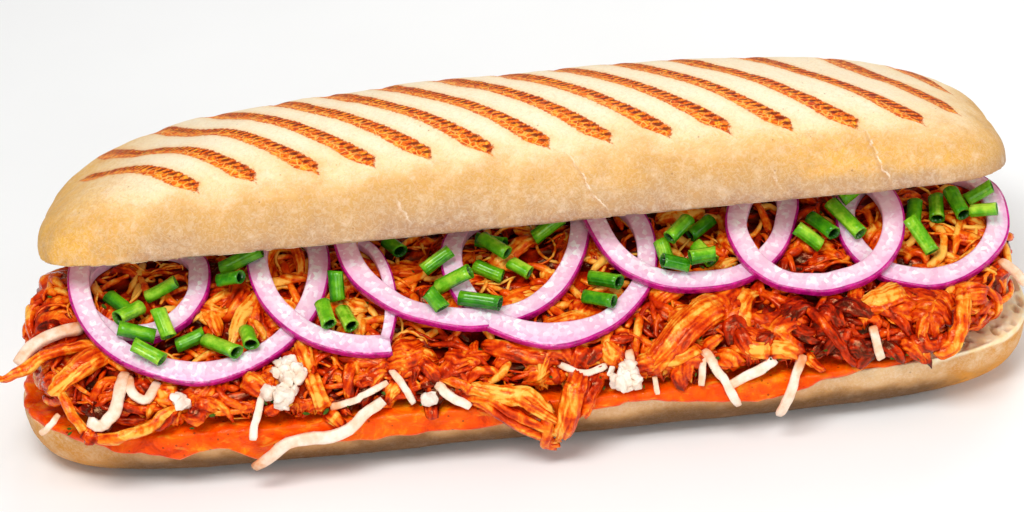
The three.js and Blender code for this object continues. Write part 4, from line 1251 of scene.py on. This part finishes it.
def build_strands(name, kind, heap, blocked, material, random):
    """Single strands that wander over the heap."""
    count, steps, radius, length, bend, rises, tint, sides = kind
    laid = []
    t = np.linspace(0, 1, steps)
    ends = 0.4 + 0.6 * np.minimum(1, np.minimum(t, 1 - t) * 6)
    for start in scatter(heap, count, random):
        heading = random.uniform(0, 2 * math.pi)
        points, normals = walk(heap, start, heading, random.normal(0, bend), random.uniform(*length), steps)
        thick = random.uniform(*radius)
        rise = random.uniform(*rises)
        lift = rise + 0.9 * np.sin(np.pi * t) + 0.35 * np.sin(7 * t + random.uniform(0, 6))
        lift = held_under(points, normals, lift, thick, blocked)
        wide = thick * ends * (1 + 0.14 * np.sin(9 * t + random.uniform(0, 6)))
        shade = random.normal(tint, 0.12) + shade_by_place(*points[0, :2]) + sauce_and_shade_by_depth(lift)
        laid.append((points + normals * lift[:, None], normals, wide, np.clip(shade, *TINT_RANGE)))
    points, faces, high, tint = tubes(*map(np.array, zip(*laid)), 0.9, sides)
    points = points + 0.16 * noise_vectors(points, 1.8, 57)
    add_piece(name, points, faces, material, "chicken", tint=tint, high=high)


# ---- cheese and herbs

# Strands of cheese by radius, and places: x, distance up the heap, and lift.
CHEESE_STRANDS = [
    (1.7, [(-112, 27, 1), (-118.5, 25, 2.4), (-124.5, 22, 2.2), (-128.4, 17.6, 1.2)]),
    (1.6, [(-101, 12, 1), (-102.6, 6, 2), (-104.2, 1.8, 1.8), (-107.6, -0.4, 1.4), (-110.8, 0.4, 1.4)]),
    (1.3, [(-100.4, 11, 0.8), (-99, 6, 1.6), (-95.8, 4.4, 1.8), (-92.8, 8.5, 1)]),
    (1.5, [
        (-70.8, -15.6, 1.2), (-66.4, -12.4, 1.6), (-62, -9.4, 1.6), (-55.8, -8.6, 1.6), (-50, -8.6, 1.6),
        (-45, -7, 1.6), (-40.5, -3.7, 2), (-36.5, -1, 1.6),
    ]),
    (1.0, [(-66.6, 3, 1.2), (-69, -3.6, 1.6), (-70, -7.6, 1.4)]),
    (0.9, [(-50, -1.6, 0.8), (-42.4, 0, 1.6), (-35, 3, 1)]),
    (1.2, [(-23, 1.4, 1), (-18.6, -2.6, 2), (-15, -5.4, 1.8)]),
    (1.1, [(26, 5, 1), (26.4, 0, 1.8), (27.4, -5.2, 1.4)]),
    (0.7, [(31.8, -1.8, 0.8), (32.1, -6.4, 1.2)]),
    (0.9, [(44.6, 3, 0.8), (43.8, -1.6, 1.6), (43.2, -5.6, 1.4)]),
    (1.15, [(45, 3.5, 0.8), (48.7, -4.1, 1.8), (52.2, -10.8, 1.5)]),
    (1.25, [(50, -6.2, 1.2), (55.8, -4, 1.8), (62.4, -0.4, 1)]),
    (1.25, [(69.4, 0, 0.8), (66, -7.4, 1.8), (62.2, -14.8, 1.4)]),
    (1.1, [(87.6, 5, 0.8), (88.2, 0, 1.8), (88.9, -3.2, 1.2)]),
    (1.2, [(122.4, 20, 1), (125.6, 15.4, 2), (127.4, 12, 1.4)]),
    (0.9, [(-34, 6, 0.8), (-31, 1.4, 1.6), (-29, -2.6, 1.2)]),
    (0.8, [(-118, 3, 0.8), (-121, 0, 1.2), (-123, -1, 0.8)]),
    (0.9, [(8, 3.6, 0.6), (14.4, 0.4, 1.4), (20, 1.8, 0.8)]),
]
# Crumbled lumps: x, distance up, radius and grains.
CHEESE_LUMPS = [
    (-62.5, 2.5, 4.0, 26), (-59.5, 8, 4.2, 26), (24.6, -0.6, 3.8, 24), (-88, 3, 2.0, 7), (-25, -1, 1.6, 5),
]
# The bed under the heap: its outline, then each row's share of that outline and its height.
CHEESE_BED = {**LOWER, "half_length": 124, "half_depth": 32}
BED_ROWS = [(0.0, 19.3), (0.9, 19.3), (0.97, 18.95), (1.0, 19.9), (0.95, 21.35), (0.8, 21.5), (0.0, 21.5)]
# the bed is painted dark orange red: sauce stain, and painted shade in the gap under the heap
BED_SAUCE_AND_SHADE = 0.86
# Herb flecks: their outline and thickness, then how many lie along the sauce and over the filling.
FLECK = np.array([(1.3, 0), (0.5, 0.5), (-0.7, 0.45), (-1.2, 0), (-0.5, -0.5), (0.6, -0.4)])
FLECK_THICKNESS = 0.22
SAUCE_FLECKS, FILLING_FLECKS = 46, 40


def cheese_strands(random, steps=18):
    """Grated strands, with corners, in the sauce in front."""
    t = np.linspace(0, 1, steps)
    ends = 0.8 + 0.2 * np.minimum(1, np.minimum(t, 1 - t) * 14) ** 0.5
    laid = []
    for radius, stops in CHEESE_STRANDS:
        points, normals = on_profile(*resample(catmull_rom(stops, 20), steps).T)
        tint = random.uniform(0.1, 0.24) + 0.2 * smoothstep(0.35 - t, 0, 0.35)
        laid.append((points, normals, radius * ends * (1 + 0.12 * noise(points, 4, 60)), tint))
    return tubes(*map(np.array, zip(*laid)), 0.66, 16, 0.62)


def cheese_grains(random, steps=10):
    """The grains of the crumbled lumps."""
    t = np.linspace(-1, 1, steps)
    laid = []
    for x, up, size, grains in CHEESE_LUMPS:
        centre, normal = on_profile(x, up, size * 0.3 + 0.9)
        for _ in range(grains):
            direction = unit(random.normal(0, 1, 3))
            if direction @ normal < -0.3:
                direction = -direction
            middle = centre + direction * size * random.uniform(0.45, 0.95) * np.array([1.1, 0.8, 0.8])
            lean = unit(np.cross(direction, random.normal(0, 1, 3)))
            half = random.uniform(0.7, 2.0)
            path = middle + lean * (half * t)[:, None] + direction * (0.3 * (1 - t * t))[:, None]
            radii = random.uniform(0.8, 1.7) * np.sqrt(np.maximum(1.05 - t**4, 0.05))
            laid.append((path, np.repeat(direction[None], steps, 0), radii, random.uniform(0.0, 0.12)))
    return tubes(*map(np.array, zip(*laid)), 0.85, 14, 0.7)


def cheese_bed():
    plan = plan_loop(CHEESE_BED, 260)
    rows = []
    for spread, z in BED_ROWS:
        edge = np.column_stack([plan * spread, np.full(len(plan), z)])
        edge[:, :2] *= 1 + (0.03 * noise(edge, 3, 64))[:, None] * (spread > 0.5)
        rows.append(edge)
    points, faces, _ = weld(np.array(rows))
    return points, faces


def build_cheese(material, random):
    strands, grains, bed = cheese_strands(random), cheese_grains(random), cheese_bed()
    parts = []
    for (points, faces, _, _), rough in ((strands, 0.16), (grains, 0.8)):
        points = points + rough * noise_vectors(points, 1.9, 61)
        parts.append((points + 0.4 * rough * noise_vectors(points, 0.9, 64), faces))
    return add_piece(
        "grated_cheese", *joined([*parts, bed]), material, "cheese", ["cheese"],
        tint=np.concatenate([strands[3], grains[3], np.full(len(bed[0]), BED_SAUCE_AND_SHADE)]),
    )


def build_herbs(material, random):
    """Flecks of dried herb in the sauce and on the filling."""
    spots = [(random.uniform(-122, 118), random.uniform(-5, 1), 1.75) for _ in range(SAUCE_FLECKS)]
    spots += [(random.uniform(-122, 118), random.uniform(4, 44), 1.2) for _ in range(FILLING_FLECKS)]
    count = len(FLECK)
    faces = [list(range(count))[::-1], list(range(count, 2 * count))]
    faces += [[k, (k + 1) % count, count + (k + 1) % count, count + k] for k in range(count)]
    a, b = FLECK.T[..., None]
    parts = []
    for x, up, lift in spots:
        size = random.uniform(0.35, 0.95)
        centre, normal = on_profile(x, up, lift)
        along = unit(np.cross(normal, random.normal(0, 1, 3)))
        outline = centre + (along * a + np.cross(normal, along) * b) * size
        sides = [outline + normal * (level + 0.12 * a) for level in (0.0, FLECK_THICKNESS)]
        parts.append((np.concatenate(sides), faces))
    add_piece("herb_flecks", *joined(parts), material, "chive", smooth=False)


# ---- making the panini

# Colours of the upper crust from its cut edge up to the crown. They are darker towards the cut edge: partly
# the crust's own colour, partly painted shade.
UPPER_STOPS = [
    (0.02, 172, 131, 100), (0.1, 187, 147, 107), (0.28, 203, 157, 98), (0.42, 213, 163, 93),
    (0.54, 231, 186, 122), (0.68, 249, 219, 170), (0.86, 252, 232, 197),
]
# Colours of the lower crust from its rim down to its foot. The dark lower stops are painted shade towards the
# floor.
LOWER_STOPS = [
    (0.0, 228, 192, 146), (0.2, 222, 182, 134), (0.26, 212, 168, 118), (0.33, 190, 144, 92),
    (0.4, 154, 114, 72), (0.47, 116, 82, 48), (0.56, 90, 61, 33),
]

random = np.random.default_rng(11)
upper = build_upper_bread(bread_material("upper_crust", UPPER_STOPS, rgb(240, 182, 80), True))
build_lower_bread(bread_material("lower_crust", LOWER_STOPS, rgb(214, 144, 52), False))
build_sauce(sauce_material())
flesh = onion_material()
slices = [build_ring(name, ring, flesh) for name, ring in RINGS.items()]
chives = build_chives(slices, chive_material(), random)
meat = chicken_material()
heap = build_core(meat)
cheese = build_cheese(cheese_material(), random)
blocked = blockers([*slices, chives, upper, cheese])
build_strands("chicken_strands", STRANDS, heap, blocked, meat, random)
build_strands("chicken_threads", THREADS, heap, blocked, meat, random)
join_chunks("chicken_chunks", heap_chunks(heap, blocked, random, CHUNKS), meat)
shreds = [
    *hero_chunks(blocked, random), *rim_chunks(blocked, random, FOOT_CHUNKS),
    *rim_chunks(blocked, random, RIGHT_CHUNKS, (50, 106), (3, 16)),
]
join_chunks("chicken_shreds", shreds, meat)
build_herbs(plain_material("herb", 0.5, 1.2, 3, (0.3, 26, 44, 6), (0.7, 78, 104, 20)), random)

# ---- floor, light and camera

FLOOR_HALF = 4
WORLD_STRENGTH = 0.3
LOOKED_AT = Vector((0, 0, 0.03))
# Soft lights: place, size and power.
LIGHTS = {
    "key": ((-0.14, -0.4, 0.7), (0.4, 0.25), 4.5), "front": ((0.2, -0.8, 0.36), (0.5, 0.25), 1.5),
    "right": ((0.75, -0.3, 0.3), (0.3, 0.25), 1.3), "back": ((0.2, 0.55, 0.55), (0.6, 0.3), 2.1),
}
# The camera stands in front, 30 degrees up, rolled so that the right end rises in the picture, and
# moved to the left and up by a little.
ELEVATION = math.radians(30)
ROLL = math.radians(5.6)
DISTANCE = 745
TARGET = Vector((0, 6, 34))
TO_LEFT, TO_TOP = 1.05, 1.57
LENS, SENSOR = 100, 36

floor_mesh = bpy.data.meshes.new("floor")
floor_corners = [(FLOOR_HALF * x, FLOOR_HALF * y, 0) for x, y in ((-1, -1), (1, -1), (1, 1), (-1, 1))]
floor_mesh.from_pydata(floor_corners, [], [(0, 1, 2, 3)])
floor_mesh.materials.append(plain_material("floor", 0.9, 60, 2, (0.3, 248, 248, 247), (0.7, 250, 250, 249)))
floor = bpy.data.objects.new("floor", floor_mesh)
bpy.context.collection.objects.link(floor)

world = bpy.data.worlds.new("studio")
world.use_nodes = True
world.node_tree.nodes["Background"].inputs["Color"].default_value = (1, 1, 1, 1)
world.node_tree.nodes["Background"].inputs["Strength"].default_value = WORLD_STRENGTH
bpy.context.scene.world = world

for name, (place, size, power) in LIGHTS.items():
    data = bpy.data.lights.new(name, "AREA")
    data.shape = "RECTANGLE"
    data.size, data.size_y = size
    data.energy = power
    light = bpy.data.objects.new(name, data)
    light.location = place
    light.rotation_euler = (LOOKED_AT - Vector(place)).to_track_quat("-Z", "Y").to_euler()
    bpy.context.collection.objects.link(light)

right = Vector((1, 0, 0))
above = Vector((0, math.sin(ELEVATION), math.cos(ELEVATION)))
ahead = Vector((0, math.cos(ELEVATION), -math.sin(ELEVATION)))
view_right = right * math.cos(ROLL) - above * math.sin(ROLL)
view_up = right * math.sin(ROLL) + above * math.cos(ROLL)
stand = TARGET - ahead * DISTANCE - view_right * TO_LEFT + view_up * TO_TOP
camera_data = bpy.data.cameras.new("camera")
camera_data.lens = LENS
camera_data.sensor_width = SENSOR
camera = bpy.data.objects.new("camera", camera_data)
turn = Matrix((view_right, view_up, -ahead)).transposed().to_4x4()
camera.matrix_world = Matrix.Translation((stand + Vector(SHIFT)) / 1000) @ turn
bpy.context.collection.objects.link(camera)
bpy.context.scene.camera = camera
bpy.context.scene.view_settings.view_transform = "Standard"
